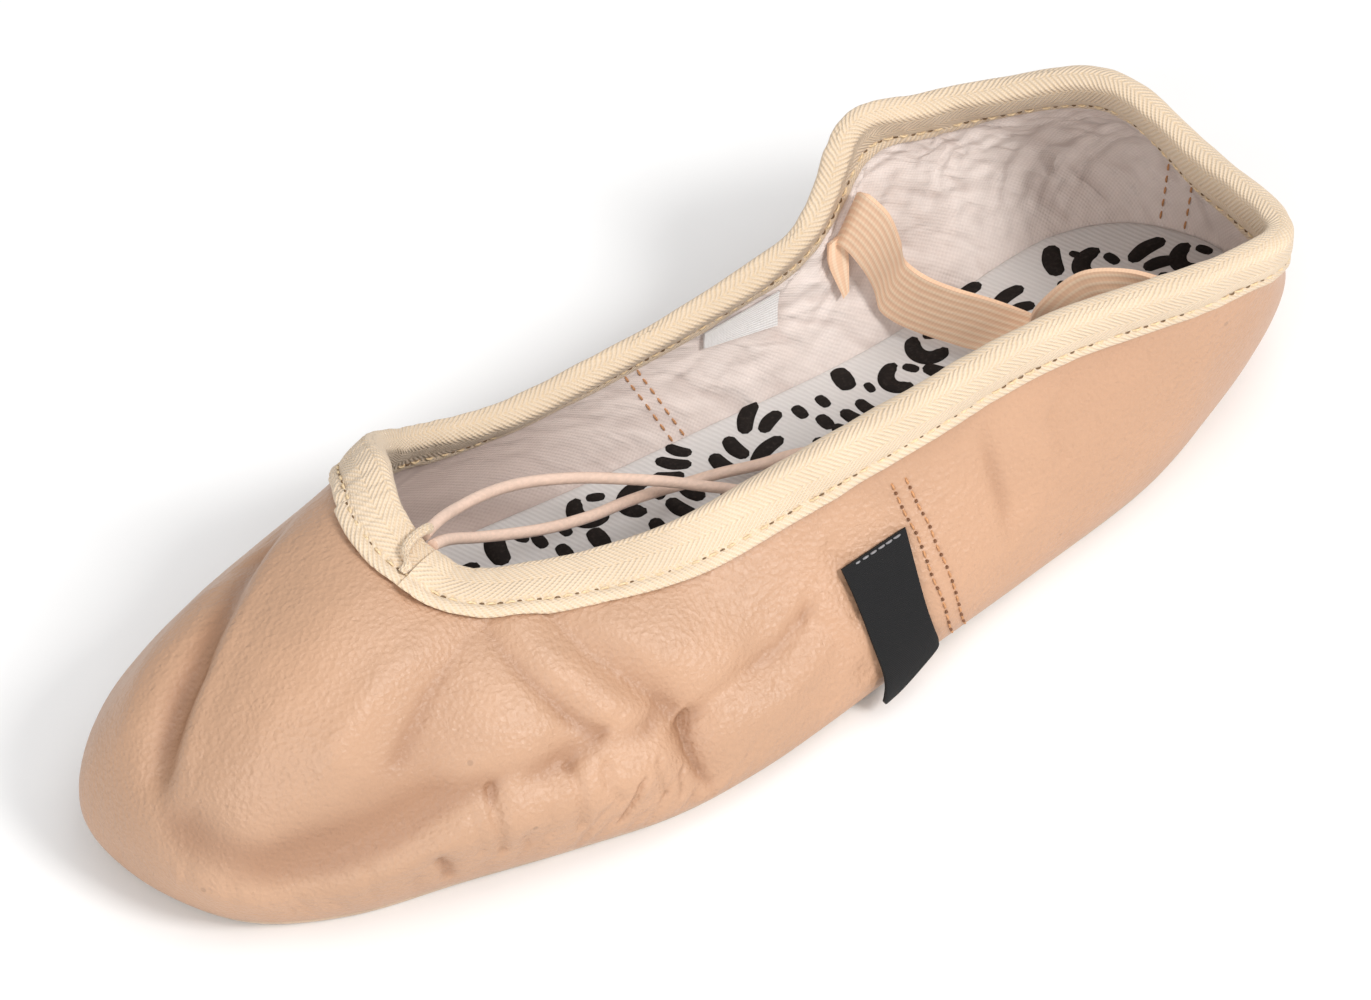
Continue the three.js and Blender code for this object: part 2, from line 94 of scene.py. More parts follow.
# Ribs of the upper in turn round the shoe: place, foot x y, rim x y z, lift, its angle, crown, its angle.
RIBS = np.array([
    [0.000, -0.475, 0.017, -0.197, 0.042, 0.944, 0.434, 74, 0.68, -6],
    [0.040, -0.457, -0.183, -0.202, -0.036, 0.912, 0.452, 67, 0.68, 5],
    [0.080, -0.414, -0.361, -0.198, -0.119, 0.848, 0.432, 57, 0.63, 17],
    [0.115, -0.351, -0.461, -0.177, -0.192, 0.778, 0.4, 49, 0.556, 14],
    [0.155, -0.267, -0.518, -0.12, -0.239, 0.73, 0.36, 44, 0.48, 0],
    [0.200, -0.181, -0.575, -0.039, -0.282, 0.714, 0.324, 41.5, 0.428, -24],
    [0.250, -0.09, -0.617, 0.043, -0.319, 0.78, 0.28, 42, 0.384, -62],
    [0.310, 0.05, -0.568, 0.159, -0.358, 0.868, 0.266, 45.5, 0.36, -90],
    [0.370, 0.231, -0.453, 0.285, -0.394, 0.96, 0.31, 51, 0.334, -98],
    [0.420, 0.376, -0.339, 0.41, -0.461, 0.974, 0.384, 56.5, 0.324, -100],
    [0.465, 0.488, -0.119, 0.48, -0.369, 0.908, 0.468, 58, 0.33, -100],
    [0.500, 0.525, 0.092, 0.477, -0.072, 0.874, 0.516, 56.5, 0.332, -99],
    [0.535, 0.494, 0.288, 0.458, 0.214, 0.924, 0.548, 56, 0.25, -84],
    [0.580, 0.422, 0.4, 0.377, 0.414, 0.85, 0.532, 61, 0.166, -73],
    [0.606, 0.374, 0.393, 0.329, 0.475, 0.835, 0.51, 64, 0.142, -70],
    [0.630, 0.324, 0.367, 0.286, 0.494, 0.862, 0.492, 66, 0.13, -68],
    [0.690, 0.169, 0.317, 0.192, 0.381, 0.628, 0.492, 65.5, 0.112, -63],
    [0.750, -0.038, 0.338, -0.034, 0.344, 0.548, 0.472, 67.5, 0.12, -61],
    [0.805, -0.203, 0.369, -0.13, 0.331, 0.646, 0.416, 75.5, 0.192, -62],
    [0.850, -0.306, 0.369, -0.165, 0.283, 0.764, 0.392, 80, 0.34, -60],
    [0.890, -0.387, 0.322, -0.181, 0.228, 0.862, 0.384, 83, 0.44, -54],
    [0.930, -0.438, 0.231, -0.189, 0.167, 0.924, 0.392, 81.5, 0.54, -40],
    [0.965, -0.466, 0.125, -0.192, 0.106, 0.954, 0.412, 79, 0.62, -22],
])

# Broad folds of the leather, in the solids too: depth and half width in millimetres, then
# points as place round the shoe and share of the rib. A ridge has a depth below zero.
FOLDS = [
    (2.2, 8.0, [(0.124, 0.80), (0.127, 0.47), (0.103, 0.24)]),
    (2.0, 4.0, [(-0.042, 0.76), (0.007, 0.69), (0.026, 0.56), (0.037, 0.40)]),
    (2.0, 3.5, [(0.156, 0.86), (0.189, 0.64), (0.219, 0.47), (0.248, 0.20)]),
    (1.2, 3.5, [(0.132, 0.87), (0.152, 0.73), (0.169, 0.62), (0.171, 0.51)]),
    (0.8, 4.0, [(0.336, 0.79), (0.354, 0.46)]),
]

# Finer relief of the upper, in the same columns: toe, hollow of the vamp, ball, then the puckers.
CREASES = [
    (0.9, 3.2, [(-0.056, 0.77), (-0.019, 0.72), (-0.003, 0.69), (0.015, 0.62), (0.023, 0.55)]),
    (0.6, 3.0, [(0.023, 0.55), (0.031, 0.46)]),
    (0.4, 2.4, [(0.029, 0.48), (0.040, 0.36), (0.050, 0.28)]),
    (-0.9, 2.8, [(-0.044, 0.83), (-0.008, 0.79), (0.012, 0.73), (0.028, 0.64), (0.037, 0.55), (0.045, 0.45)]),
    (-0.7, 4.5, [(-0.035, 0.60), (-0.006, 0.52), (0.012, 0.42)]),
    (1.3, 4.5, [(0.060, 0.28), (0.090, 0.26), (0.109, 0.30), (0.126, 0.35), (0.138, 0.42)]),
    (-0.9, 2.4, [(0.058, 0.14), (0.090, 0.13), (0.118, 0.19), (0.133, 0.25), (0.141, 0.30)]),
    (1.0, 1.1, [(0.133, 0.87), (0.151, 0.74), (0.168, 0.62), (0.180, 0.55)]),
    (-0.9, 2.6, [(0.142, 0.88), (0.159, 0.76), (0.176, 0.65), (0.188, 0.58)]),
    (-0.9, 3.4, [(0.116, 0.86), (0.104, 0.70), (0.101, 0.56)]),
    (0.5, 1.8, [(0.127, 0.84), (0.122, 0.70), (0.122, 0.56)]),
    (0.9, 1.3, [(0.155, 0.89), (0.170, 0.77), (0.180, 0.71), (0.196, 0.61), (0.208, 0.55)]),
    (-0.6, 2.2, [(0.166, 0.88), (0.181, 0.77), (0.194, 0.68)]),
    (1.0, 0.8, [(0.215, 0.52), (0.223, 0.43), (0.237, 0.31), (0.249, 0.19), (0.253, 0.11)]),
    (0.35, 2.0, [(0.214, 0.51), (0.224, 0.42), (0.240, 0.28)]),
    (-1.0, 5.5, [(0.178, 0.86), (0.205, 0.70), (0.228, 0.62)]),
    (0.8, 2.6, [(0.217, 0.51), (0.226, 0.54), (0.242, 0.56), (0.258, 0.56), (0.268, 0.60)]),
    (-1.0, 6.0, [(0.240, 0.42), (0.262, 0.40), (0.275, 0.42)]),
    (-1.3, 5.0, [(0.150, 0.32), (0.165, 0.33), (0.185, 0.35), (0.205, 0.36)]),
    (0.8, 3.2, [(0.150, 0.47), (0.167, 0.48), (0.174, 0.50), (0.184, 0.54), (0.196, 0.53)]),
    (0.6, 1.8, [(0.143, 0.27), (0.148, 0.20), (0.151, 0.13)]),
    (1.2, 0.8, [(0.145, 0.25), (0.148, 0.20), (0.150, 0.14)]),
    (1.05, 0.8, [(0.152, 0.46), (0.155, 0.40), (0.159, 0.33), (0.165, 0.22)]),
    (-0.4, 1.8, [(0.158, 0.46), (0.162, 0.38), (0.167, 0.30)]),
    (0.5, 0.7, [(0.149, 0.39), (0.154, 0.32), (0.157, 0.25)]),
    (0.4, 0.7, [(0.168, 0.30), (0.174, 0.21)]),
    (0.35, 0.7, [(0.172, 0.37), (0.178, 0.26)]),
    (0.9, 0.7, [(0.174, 0.48), (0.181, 0.38), (0.189, 0.25)]),
    (0.6, 0.7, [(0.185, 0.46), (0.190, 0.38), (0.199, 0.32)]),
    (1.1, 0.7, [(0.203, 0.37), (0.206, 0.29), (0.208, 0.20)]),
    (0.6, 0.7, [(0.207, 0.42), (0.216, 0.34), (0.224, 0.26)]),
    (0.6, 0.7, [(0.227, 0.33), (0.234, 0.22)]),
    (-0.4, 1.6, [(0.178, 0.44), (0.186, 0.33), (0.195, 0.24)]),
    (-0.4, 1.6, [(0.197, 0.42), (0.207, 0.33), (0.215, 0.24)]),
    (0.5, 1.1, [(0.341, 0.76), (0.347, 0.62), (0.352, 0.50), (0.356, 0.36)]),
    (0.35, 1.0, [(0.372, 0.80), (0.366, 0.66), (0.372, 0.52)]),
    (0.5, 1.5, [(0.277, 0.73), (0.289, 0.62), (0.298, 0.50)]),
    (0.45, 1.2, [(0.270, 0.60), (0.286, 0.50), (0.300, 0.36), (0.309, 0.24)]),
    (-0.5, 2.0, [(0.276, 0.60), (0.291, 0.48), (0.302, 0.34)]),
    (0.4, 1.3, [(0.262, 0.47), (0.280, 0.36), (0.296, 0.24)]),
]


# Surfaces

def table_slopes(rows):
    """Slopes at the rows of a table whose first column is the place."""
    slopes = np.zeros_like(rows)
    before = (rows[1:-1, 0] - rows[:-2, 0])[:, None]
    after = (rows[2:, 0] - rows[1:-1, 0])[:, None]
    rise = (rows[1:-1] - rows[:-2]) / before * after + (rows[2:] - rows[1:-1]) / after * before
    slopes[1:-1] = rise / (before + after)
    return slopes


def turned(row, turns):
    """A rib's row with its place moved by whole turns round the shoe."""
    return row + np.array([turns] + [0.0] * (len(row) - 1))


RIBS_ROUND = np.vstack([turned(RIBS[-1], -1), RIBS, turned(RIBS[0], 1), turned(RIBS[1], 1)])
RIB_SLOPES = table_slopes(RIBS_ROUND)


def rib_rows(place):
    """The rib table at any places round the shoe, by smooth cubic pieces."""
    s = np.mod(place, 1.0)
    i = np.searchsorted(RIBS[:, 0], s, side="right")
    step = (RIBS_ROUND[i + 1, 0] - RIBS_ROUND[i, 0])[..., None]
    u = (s - RIBS_ROUND[i, 0])[..., None] / step
    return (
        (1 + 2 * u) * (1 - u) ** 2 * RIBS_ROUND[i]
        + u * u * (3 - 2 * u) * RIBS_ROUND[i + 1]
        + step * u * (1 - u) ** 2 * RIB_SLOPES[i]
        - step * u * u * (1 - u) * RIB_SLOPES[i + 1]
    )


def ground(x):
    """Lift of the sole over the floor: zero on its two flat spots."""
    share = np.asarray(x) / SOLE_LENGTH
    toe = np.clip((FORE_FLAT[0] - share) / (FORE_FLAT[0] + 0.5), 0, None)
    arch = np.clip((share - FORE_FLAT[1]) / (HEEL_FLAT - FORE_FLAT[1]), 0, 1)
    return TOE_SPRING * toe**2 + ARCH_LIFT * np.sin(np.pi * arch) ** 2


def outwards(points):
    """Directions outwards from the sole's middle line, in plan."""
    way = points * [1.0, 1.0, 0.0]
    way[..., 0] -= np.clip(points[..., 0], *SPINE)
    return way / np.linalg.norm(way, axis=-1, keepdims=True)


def ribs(place):
    """The four control points of each rib: foot, lift, crown and rim."""
    r = np.moveaxis(rib_rows(np.asarray(place, float)), -1, 0)
    x = r[1] * SOLE_LENGTH
    foot = np.stack([x, r[2] * BALL_WIDTH, OUTSOLE + GAP + ground(x)], -1)
    rim = np.stack([r[3] * SOLE_LENGTH, r[4] * BALL_WIDTH, r[5] * HEEL_HEIGHT], -1)
    out = outwards(foot)

    def handle(length, angle):
        turn = np.radians(angle)[..., None]
        return (out * np.cos(turn) + UP * np.sin(turn)) * length[..., None] * HEEL_HEIGHT

    return foot, foot + handle(r[6], r[7]), rim + handle(r[8], r[9]), rim


def plain(place, share):
    """Points of the unfolded outer face."""
    place, share = np.broadcast_arrays(np.asarray(place, float), np.asarray(share, float))
    foot, lift, crown, rim = ribs(place)
    t = share[..., None]
    u = 1 - t
    return foot * u**3 + lift * 3 * u * u * t + crown * 3 * u * t * t + rim * t**3


def unit(vectors):
    """The same directions, of length one."""
    return vectors / np.linalg.norm(vectors, axis=-1, keepdims=True)


def normals(place, share):
    """Directions off the outer face."""
    place, share = np.broadcast_arrays(np.asarray(place, float), np.asarray(share, float))
    low, high = np.clip(share - 0.01, 0, None), np.clip(share + 0.01, None, 1)
    along = plain(place + 0.002, share) - plain(place - 0.002, share)
    return unit(np.cross(along, plain(place, high) - plain(place, low)))


def creases(place, share, table):
    """Height of a table's folds in millimetres, below zero in a trough."""
    place, share = np.broadcast_arrays(np.asarray(place, float), np.asarray(share, float))
    height = np.zeros(place.shape)
    for depth, half, path in table:
        nearest = np.full(place.shape, np.inf)
        for (s0, t0), (s1, t1) in zip(path, path[1:]):
            x = (np.mod(place - s0 + 0.5, 1.0) - 0.5) * ROUND_LENGTH
            y = (share - t0) * RIB_LENGTH
            dx, dy = (s1 - s0) * ROUND_LENGTH, (t1 - t0) * RIB_LENGTH
            part = np.clip((x * dx + y * dy) / (dx * dx + dy * dy), 0, 1)
            nearest = np.minimum(nearest, np.hypot(x - part * dx, y - part * dy))
        height -= depth * np.exp(-((nearest / half) ** 2))
    return height * np.sin(np.pi * np.clip(share, 0, 1))


def lumps(x, y, seed):
    """Soft unevenness from -1 to 1 over a plane, one lump a unit apart."""
    table = np.random.default_rng(seed).uniform(-1, 1, (64, 64))
    i, j = np.floor(x).astype(int), np.floor(y).astype(int)
    u, v = x - i, y - j
    u, v = u * u * (3 - 2 * u), v * v * (3 - 2 * v)
    near = table[i % 64, j % 64] * (1 - u) + table[(i + 1) % 64, j % 64] * u
    far = table[i % 64, (j + 1) % 64] * (1 - u) + table[(i + 1) % 64, (j + 1) % 64] * u
    return near * (1 - v) + far * v


def skin(place, share, height=0.0):
    """Points at a height off the outer face with its broad folds; below zero is inside."""
    off = np.asarray(height + creases(place, share, FOLDS))
    return plain(place, share) + normals(place, share) * off[..., None]


def by_rim(place, below, height):
    """Points by distance below the rim, measured down the rib; below zero stands above it."""
    place, below, height = np.broadcast_arrays(*(np.asarray(v, float) for v in (place, below, height)))
    shares = np.linspace(1, 0, RIM_STEPS)
    share = np.ones(place.shape)
    for at in np.unique(place):
        run = plain(np.full(RIM_STEPS, at), shares)
        down = lengths(run)
        here = place == at
        share[here] = np.interp(below[here], down, shares)
    rim = plain(place, np.ones(place.shape))
    end = unit(rim - plain(place, np.full(place.shape, 0.98)))
    over = np.clip(-below, 0, None)
    return skin(place, share, height) + end * over[..., None]


def own_shift():
    """From the ribs' origin to the frame's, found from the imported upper."""
    places = np.arange(SOLID_COLUMNS) / SOLID_COLUMNS
    shares = np.arange(SOLID_ROWS) / (SOLID_ROWS - 1)
    face = skin(places[:, None], shares[None]).reshape(-1, 3)
    low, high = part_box("upper")
    middle = np.array((low + high) / 2) / MM
    return np.append(middle[:2] - ((face.min(0) + face.max(0)) / 2)[:2], 0.0)


SHIFT = own_shift()


def metres(points):
    """Points of the script in the frame's place and unit."""
    return (np.asarray(points, float) + SHIFT) * MM


def smooth_line(points, count):
    """A centripetal curve through points, evenly spaced in its own measure."""
    p = np.asarray(points, float)
    p = np.vstack([2 * p[0] - p[1], p, 2 * p[-1] - p[-2]])
    out = []
    for at in np.linspace(0, len(p) - 3 - 1e-9, count):
        i = int(at)
        u = at - i
        p0, p1, p2, p3 = p[i:i + 4]
        d0, d1, d2 = (max(1e-4, np.linalg.norm(b - a) ** 0.5) for a, b in ((p0, p1), (p1, p2), (p2, p3)))
        m1 = ((p1 - p0) / d0 - (p2 - p0) / (d0 + d1) + (p2 - p1) / d1) * d1
        m2 = ((p2 - p1) / d1 - (p3 - p1) / (d1 + d2) + (p3 - p2) / d2) * d1
        out.append(
            (1 + 2 * u) * (1 - u) ** 2 * p1 + u * u * (3 - 2 * u) * p2
            + u * (1 - u) ** 2 * m1 - u * u * (1 - u) * m2
        )
    return np.array(out)


def lengths(points):
    """Distance along a line of points, from its first."""
    return np.concatenate([[0], np.cumsum(np.linalg.norm(np.diff(points, axis=0), axis=1))])


# Meshes

def add_piece(name, look, vertices, faces, weave=None, crease_shade_depth=None, sharp=None):
    """A piece of the slipper that rides on the root body; vertices are in millimetres."""
    mesh = bpy.data.meshes.new(name)
    mesh.from_pydata(metres(vertices).tolist(), [], [list(f) for f in faces])
    if weave is not None:
        layer = mesh.uv_layers.new(name="Weave")
        layer.uv.foreach_set("vector", np.asarray(weave, np.float32).ravel())
    # Painted shade per point for the leather, kept in the tint attribute.
    if crease_shade_depth is not None:
        layer = mesh.attributes.new("tint", "FLOAT", "POINT")
        layer.data.foreach_set("value", np.asarray(crease_shade_depth, np.float32).ravel())
    mesh.shade_smooth()
    if sharp is not None:
        mesh.set_sharp_from_angle(angle=math.radians(sharp))
    mesh.validate()
    mesh.materials.append(look)
    piece = bpy.data.objects.new(name, mesh)
    bpy.context.scene.collection.objects.link(piece)
    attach(piece, "root")
    return piece


def grid_faces(columns, rows, round_columns, round_rows):
    """Quads of a grid of points, as indices of its corners."""
    i, j = np.meshgrid(
        np.arange(columns if round_columns else columns - 1),
        np.arange(rows if round_rows else rows - 1), indexing="ij")
    i, j = i.ravel(), j.ravel()
    i2, j2 = (i + 1) % columns, (j + 1) % rows
    corners = np.stack([i * rows + j, i2 * rows + j, i2 * rows + j2, i * rows + j2], -1)
    places = np.stack([np.stack([i, i + 1, i + 1, i], -1), np.stack([j, j, j + 1, j + 1], -1)], -1)
    return corners, places


def signed_volume(vertices, faces):
    """A measure of a closed mesh of quads that is below zero when its faces look inwards."""
    a, b, c, d = (vertices[faces[:, k]] for k in range(4))
    return (np.einsum("ij,ij->i", a, np.cross(b, c)) + np.einsum("ij,ij->i", a, np.cross(c, d))).sum()


def ring_piece(name, look, grid, slot, joined, u=None, v=None, crease_shade_depth=None, sharp=None, replaces=()):
    """A closed piece from rings of points: joined end to end, or capped across at both ends."""
    columns, rows = grid.shape[:2]
    vertices = grid.reshape(-1, 3)
    faces, places = grid_faces(columns, rows, joined, True)
    u = np.arange(columns + 1.0) if u is None else np.asarray(u, float)
    v = np.arange(rows + 1.0) if v is None else np.asarray(v, float)
    weave = np.stack([u[places[..., 0]], v[places[..., 1]]], -1)
    if not joined:
        half = rows // 2
        j = np.arange(half - 1)
        cap = np.stack([j, j + 1, rows - 2 - j, rows - 1 - j], -1)
        last = cap[:, ::-1] + (columns - 1) * rows
        faces = np.vstack([faces, cap, last])
        ends = np.stack([np.zeros(cap.shape), v[cap]], -1)
        weave = np.vstack([weave, ends, ends[:, ::-1] + [u[columns - 1], 0]])
    if signed_volume(vertices, faces) < 0:
        faces, weave = faces[:, ::-1], weave[:, ::-1]
    piece = add_piece(name, look, vertices, faces, weave, crease_shade_depth, sharp)
    if replaces:
        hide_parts(*replaces)


def band(name, look, front, back, slot, half, across=2, **more):
    """A flat band between two edge lines; half its thickness is a number, or a function across it."""
    along = np.gradient(front + back, axis=0)
    normal = unit(np.cross(back - front, along))
    share = np.linspace(0, 1, across + 1)
    rise = half(share) if callable(half) else np.full(across + 1, half)
    middle = front[:, None] + (back - front)[:, None] * share[None, :, None]
    upper = middle + normal[:, None] * rise[None, :, None]
    lower = middle - normal[:, None] * rise[None, :, None]
    grid = np.concatenate([upper, lower[:, ::-1]], 1)
    width = np.linalg.norm(back - front, axis=1).mean()
    v = np.concatenate([share * width, share[::-1] * width, [0]])
    u = lengths((front + back) / 2)
    ring_piece(name, look, grid, slot, False, u=u, v=v, **more)


def thread_run(points, off, pitch, length, radius, dip=0.5, first=0.5, missing=0.0):
    """Stitches along a line: each is a short bent thread whose ends dip into the cloth."""
    draw = np.random.default_rng(41)
    run = lengths(points)
    vertices, faces = [], []
    rings, sides = 6, 6
    for k in range(int((run[-1] - first) // pitch)):
        if draw.random() < missing:
            continue
        at = first + (k + draw.uniform(-0.05, 0.05)) * pitch + np.linspace(0, 1, rings) * length
        centre = np.stack([np.interp(at, run, points[:, c]) for c in range(3)], -1)
        normal = unit(np.stack([np.interp(at, run, off[:, c]) for c in range(3)], -1))
        way = unit(np.gradient(centre, axis=0))
        side = unit(np.cross(way, normal))
        bow = np.sin(np.pi * np.linspace(0, 1, rings))
        centre = centre + normal * ((radius * 0.9 + dip) * bow ** 0.6 - dip)[:, None]
        thick = radius * (0.55 + 0.45 * bow)
        turn = 2 * np.pi * np.arange(sides) / sides
        ring = centre[:, None] + thick[:, None, None] * (
            side[:, None] * np.cos(turn)[None, :, None] + normal[:, None] * np.sin(turn)[None, :, None])
        start = len(vertices) * rings * sides
        vertices.append(ring.reshape(-1, 3))
        quads, _ = grid_faces(rings, sides, False, True)
        caps = np.array([[0, 1, 2, 3], [0, 3, 4, 5]])
        quads = np.vstack([quads, caps, caps[:, ::-1] + (rings - 1) * sides])
        if signed_volume(ring.reshape(-1, 3), quads) < 0:
            quads = quads[:, ::-1]
        faces.append(quads + start)
    return np.vstack(vertices), np.vstack(faces)


def joined_piece(name, look, parts):
    """One piece from several lists of vertices and faces."""
    vertices, faces, start = [], [], 0
    for points, quads in parts:
        vertices.append(points)
        faces.append(quads + start)
        start += len(points)
    add_piece(name, look, np.vstack(vertices), np.vstack(faces))


# Materials

class Wire:
    """A value, vector or colour in a material, with the maths that is used on it."""

    def __init__(self, look, socket):
        self.look = look
        self.socket = socket

    def maths(self, operation, *values):
        """A node of mathematics that takes these values in turn."""
        return self.look.add("ShaderNodeMath", {"operation": operation}, dict(enumerate(values)))

    def __add__(self, other):
        return self.maths("ADD", self, other)

    def __sub__(self, other):
        return self.maths("SUBTRACT", self, other)

    def __rsub__(self, other):
        return self.maths("SUBTRACT", other, self)

    def __mul__(self, other):
        return self.maths("MULTIPLY", self, other)

    def __truediv__(self, other):
        return self.maths("DIVIDE", self, other)

    def within(self, low, high):
        """0 below low, 1 above high, and smooth between them."""
        sockets = {"Value": self, "From Min": low, "From Max": high}
        return self.look.add("ShaderNodeMapRange", {"interpolation_type": "SMOOTHSTEP"}, sockets)

    def wave(self, length):
        """A wave from 0 to 1 that repeats after a length."""
        return self.maths("SINE", self * (2 * math.pi / length)) * 0.5 + 0.5


class Look:
    """A material, and the one way in which nodes are added to it."""

    def __init__(self, name, **fixed):
        self.material = bpy.data.materials.new(name)
        self.material.use_nodes = True
        self.tree = self.material.node_tree
        self.shader = self.tree.nodes["Principled BSDF"]
        for socket, value in fixed.items():
            self.set(self.shader.inputs[socket.replace("_", " ")], value)

    def set(self, socket, value):
        """Links a wire to a socket, or sets the socket to a fixed value."""
        if isinstance(value, Wire):
            self.tree.links.new(value.socket, socket)
        elif hasattr(value, "__len__") and socket.type == "RGBA":
            socket.default_value = (*value[:3], 1.0)
        else:
            socket.default_value = value

    def add(self, kind, settings=None, sockets=None, output=0):
        """A node of a kind with its settings and inputs, as the wire from one output."""
        node = self.tree.nodes.new(kind)
        for key, value in (settings or {}).items():
            setattr(node, key, value)
        for key, value in (sockets or {}).items():
            self.set(node.inputs[key], value)
        return Wire(self, node.outputs[output])

    def feed(self, **sockets):
        """Feeds the shader and returns the finished material."""
        for socket, value in sockets.items():
            self.set(self.shader.inputs[socket.replace("_", " ")], value)
        return self.material

    def place(self):
        """Places on the object, in metres."""
        return self.add("ShaderNodeTexCoord", output="Object")

    def weave(self):
        """Measures along and across the cloth, in millimetres."""
        return self.split(self.add("ShaderNodeUVMap", {"uv_map": "Weave"}))[:2]

    def split(self, vector):
        """The x, y and z of a vector."""
        node = self.add("ShaderNodeSeparateXYZ", sockets={"Vector": vector}).socket.node
        return tuple(Wire(self, node.outputs[k]) for k in range(3))

    def join(self, x, y, z=0.0):
        return self.add("ShaderNodeCombineXYZ", sockets={0: x, 1: y, 2: z})

    def scaled(self, vector, by):
        return self.add("ShaderNodeVectorMath", {"operation": "MULTIPLY"}, {0: vector, 1: by})

    def noise(self, vector, scale, detail=2.0, roughness=0.5, warp=0.0):
        sockets = {
            "Vector": vector, "Scale": scale, "Detail": detail, "Roughness": roughness, "Distortion": warp}
        return self.add("ShaderNodeTexNoise", {"noise_dimensions": "3D"}, sockets)

    def cells(self, vector, scale, feature="F1"):
        """Distance to the nearest of many scattered points, or to the border between two."""
        settings = {"feature": feature, "voronoi_dimensions": "3D"}
        return self.add("ShaderNodeTexVoronoi", settings, {"Vector": vector, "Scale": scale}, "Distance")

    def mix(self, share, one, two):
        """A colour between one, at a share of 0, and two, at a share of 1."""
        return self.add("ShaderNodeMix", {"data_type": "RGBA"}, {0: share, 6: one, 7: two}, output=2)

    def bump(self, height, depth, under=None):
        """A relief of that depth in metres, over another one."""
        sockets = {"Height": height, "Distance": depth, "Strength": 1.0}
        if under is not None:
            sockets["Normal"] = under
        return self.add("ShaderNodeBump", sockets=sockets)


def colour(*levels):
    """A colour by its usual red, green and blue from 0 to 255, as light."""
    return tuple(c / 255 / 12.92 if c <= 10 else ((c / 255 + 0.055) / 1.055) ** 2.4 for c in levels)


def shaded(base, by):
    """A colour made darker by a factor."""
    return tuple(c * by for c in base)


def leather_look(sizes):
    """Soft kid leather: fine pores, thin wrinkles, a faint mottle, a low sheen, and painted shade darkening
    its creases and fold hollows.
    """
    look = Look("kid leather", Specular_IOR_Level=0.5)
    place = look.place()
    mottle = look.noise(place, 42.0, 3.0, 0.55)
    blush = look.noise(place, 15.0, 2.0, 0.5)
    pores = look.cells(place, 1150.0)
    bent = look.noise(place, 260.0, 2.0, 0.5)
    pebbles = look.cells(look.scaled(place, (1.0, 1.35, 1.2)), 620.0, "DISTANCE_TO_EDGE")
    veins = look.noise(look.scaled(place, (1.0, 2.2, 1.6)), 520.0, 4.0, 0.66, 0.8)
    crossing = look.noise(look.scaled(place, (2.4, 1.0, 1.0)), 230.0, 3.0, 0.6, 1.6)
    # The tint attribute holds how deep each point lies in a crease or fold hollow, and it drives painted
    # shade.
    tint = look.add("ShaderNodeAttribute", {"attribute_name": "tint"}, output="Fac")
    base = tuple(sizes.colour)
    deep = look.mix(mottle.within(0.32, 0.72), shaded(base, 0.90), base)
    warm = look.mix(blush.within(0.35, 0.75) * 0.35, deep, (base[0] * 1.02, base[1] * 0.93, base[2] * 0.90))
    # Painted shade: the tint attribute darkens creases and fold hollows towards this colour.
    dark = shaded((base[0], base[1] * 0.86, base[2] * 0.76), 0.62)
    shade_in_creases = look.mix(tint.within(0.1, 1.3) * 0.75, warm, dark)
    specks = look.cells(place, 95.0).within(0.035, 0.055)
    spotted = look.mix((1 - specks) * 0.35, shade_in_creases, shaded(base, 0.45))
    rough = look.noise(place, 90.0, 3.0, 0.6) * 0.18 + 0.33
    wrinkles = veins * 0.50 + crossing * 0.45 + pebbles.within(0.0, 0.25) * 0.15 * bent
    first = look.bump(wrinkles, 0.00029 * sizes.grain)
    grain = look.bump(pores, 0.00013 * sizes.grain, first)
    return look.feed(Base_Color=spotted, Roughness=rough, Normal=grain)


def suede_look():
    """Brushed split leather with a short nap."""
    look = Look("suede", Specular_IOR_Level=0.2, Sheen_Weight=0.35, Sheen_Roughness=0.6)
    place = look.place()
    nap = look.noise(place, 900.0, 4.0, 0.7)
    patches = look.noise(place, 55.0, 3.0, 0.6)
    base = colour(206, 178, 150)
    tone = look.mix(patches.within(0.35, 0.7), shaded(base, 0.8), base)
    worn = look.mix(nap.within(0.3, 0.75) * 0.5, tone, shaded(base, 0.62))
    return look.feed(Base_Color=worn, Roughness=nap * 0.1 + 0.86, Normal=look.bump(nap, 0.00018))


def plain_weave(look, u, v, pitch, depth):
    """Over and under threads of a plain cloth, and the relief they give."""
    a, b = (way.maths("SINE", way * (math.pi / pitch)) for way in (u, v))
    threads = a * b * 0.5 + 0.5
    return threads, look.bump(threads, depth)


def lining_look():
    """Thin cotton, mauve grey at the toe and whiter towards the heel."""
    look = Look("lining cotton", Specular_IOR_Level=0.15, Sheen_Weight=0.15)
    place = look.place()
    u, v = look.weave()
    x, _, _ = look.split(place)
    cloud = look.noise(place, 38.0, 3.0, 0.6)
    fibres = look.noise(place, 700.0, 3.0, 0.65)
    along = (x + (cloud - 0.5) * 0.03).within(-0.035, 0.015)
    toe, heel = colour(208, 188, 179), colour(234, 223, 217)
    tone = look.mix(along, toe, heel)
    soft = look.mix(cloud.within(0.35, 0.7) * 0.35, tone, colour(208, 190, 181))
    slanted = look.join((u + v * 0.9) * 0.21, (v - u * 0.5) * 0.10)
    creased = look.noise(slanted, 1.0, 1.0, 0.4, 0.5) * (along * 0.8 + 0.2)
    threads, weave = plain_weave(look, u, v, 0.42, 0.00005)
    shadowed = look.mix((0.5 - creased).within(0.0, 0.3) * along * 0.35, soft, colour(176, 156, 148))
    dyed = look.mix(threads * 0.12 + fibres * 0.10, shadowed, colour(150, 126, 120))
    folded = look.bump(creased, 0.0009, weave)
    relief = look.bump(fibres, 0.00006, folded)
    return look.feed(Base_Color=dyed, Roughness=fibres * 0.1 + 0.82, Normal=relief)


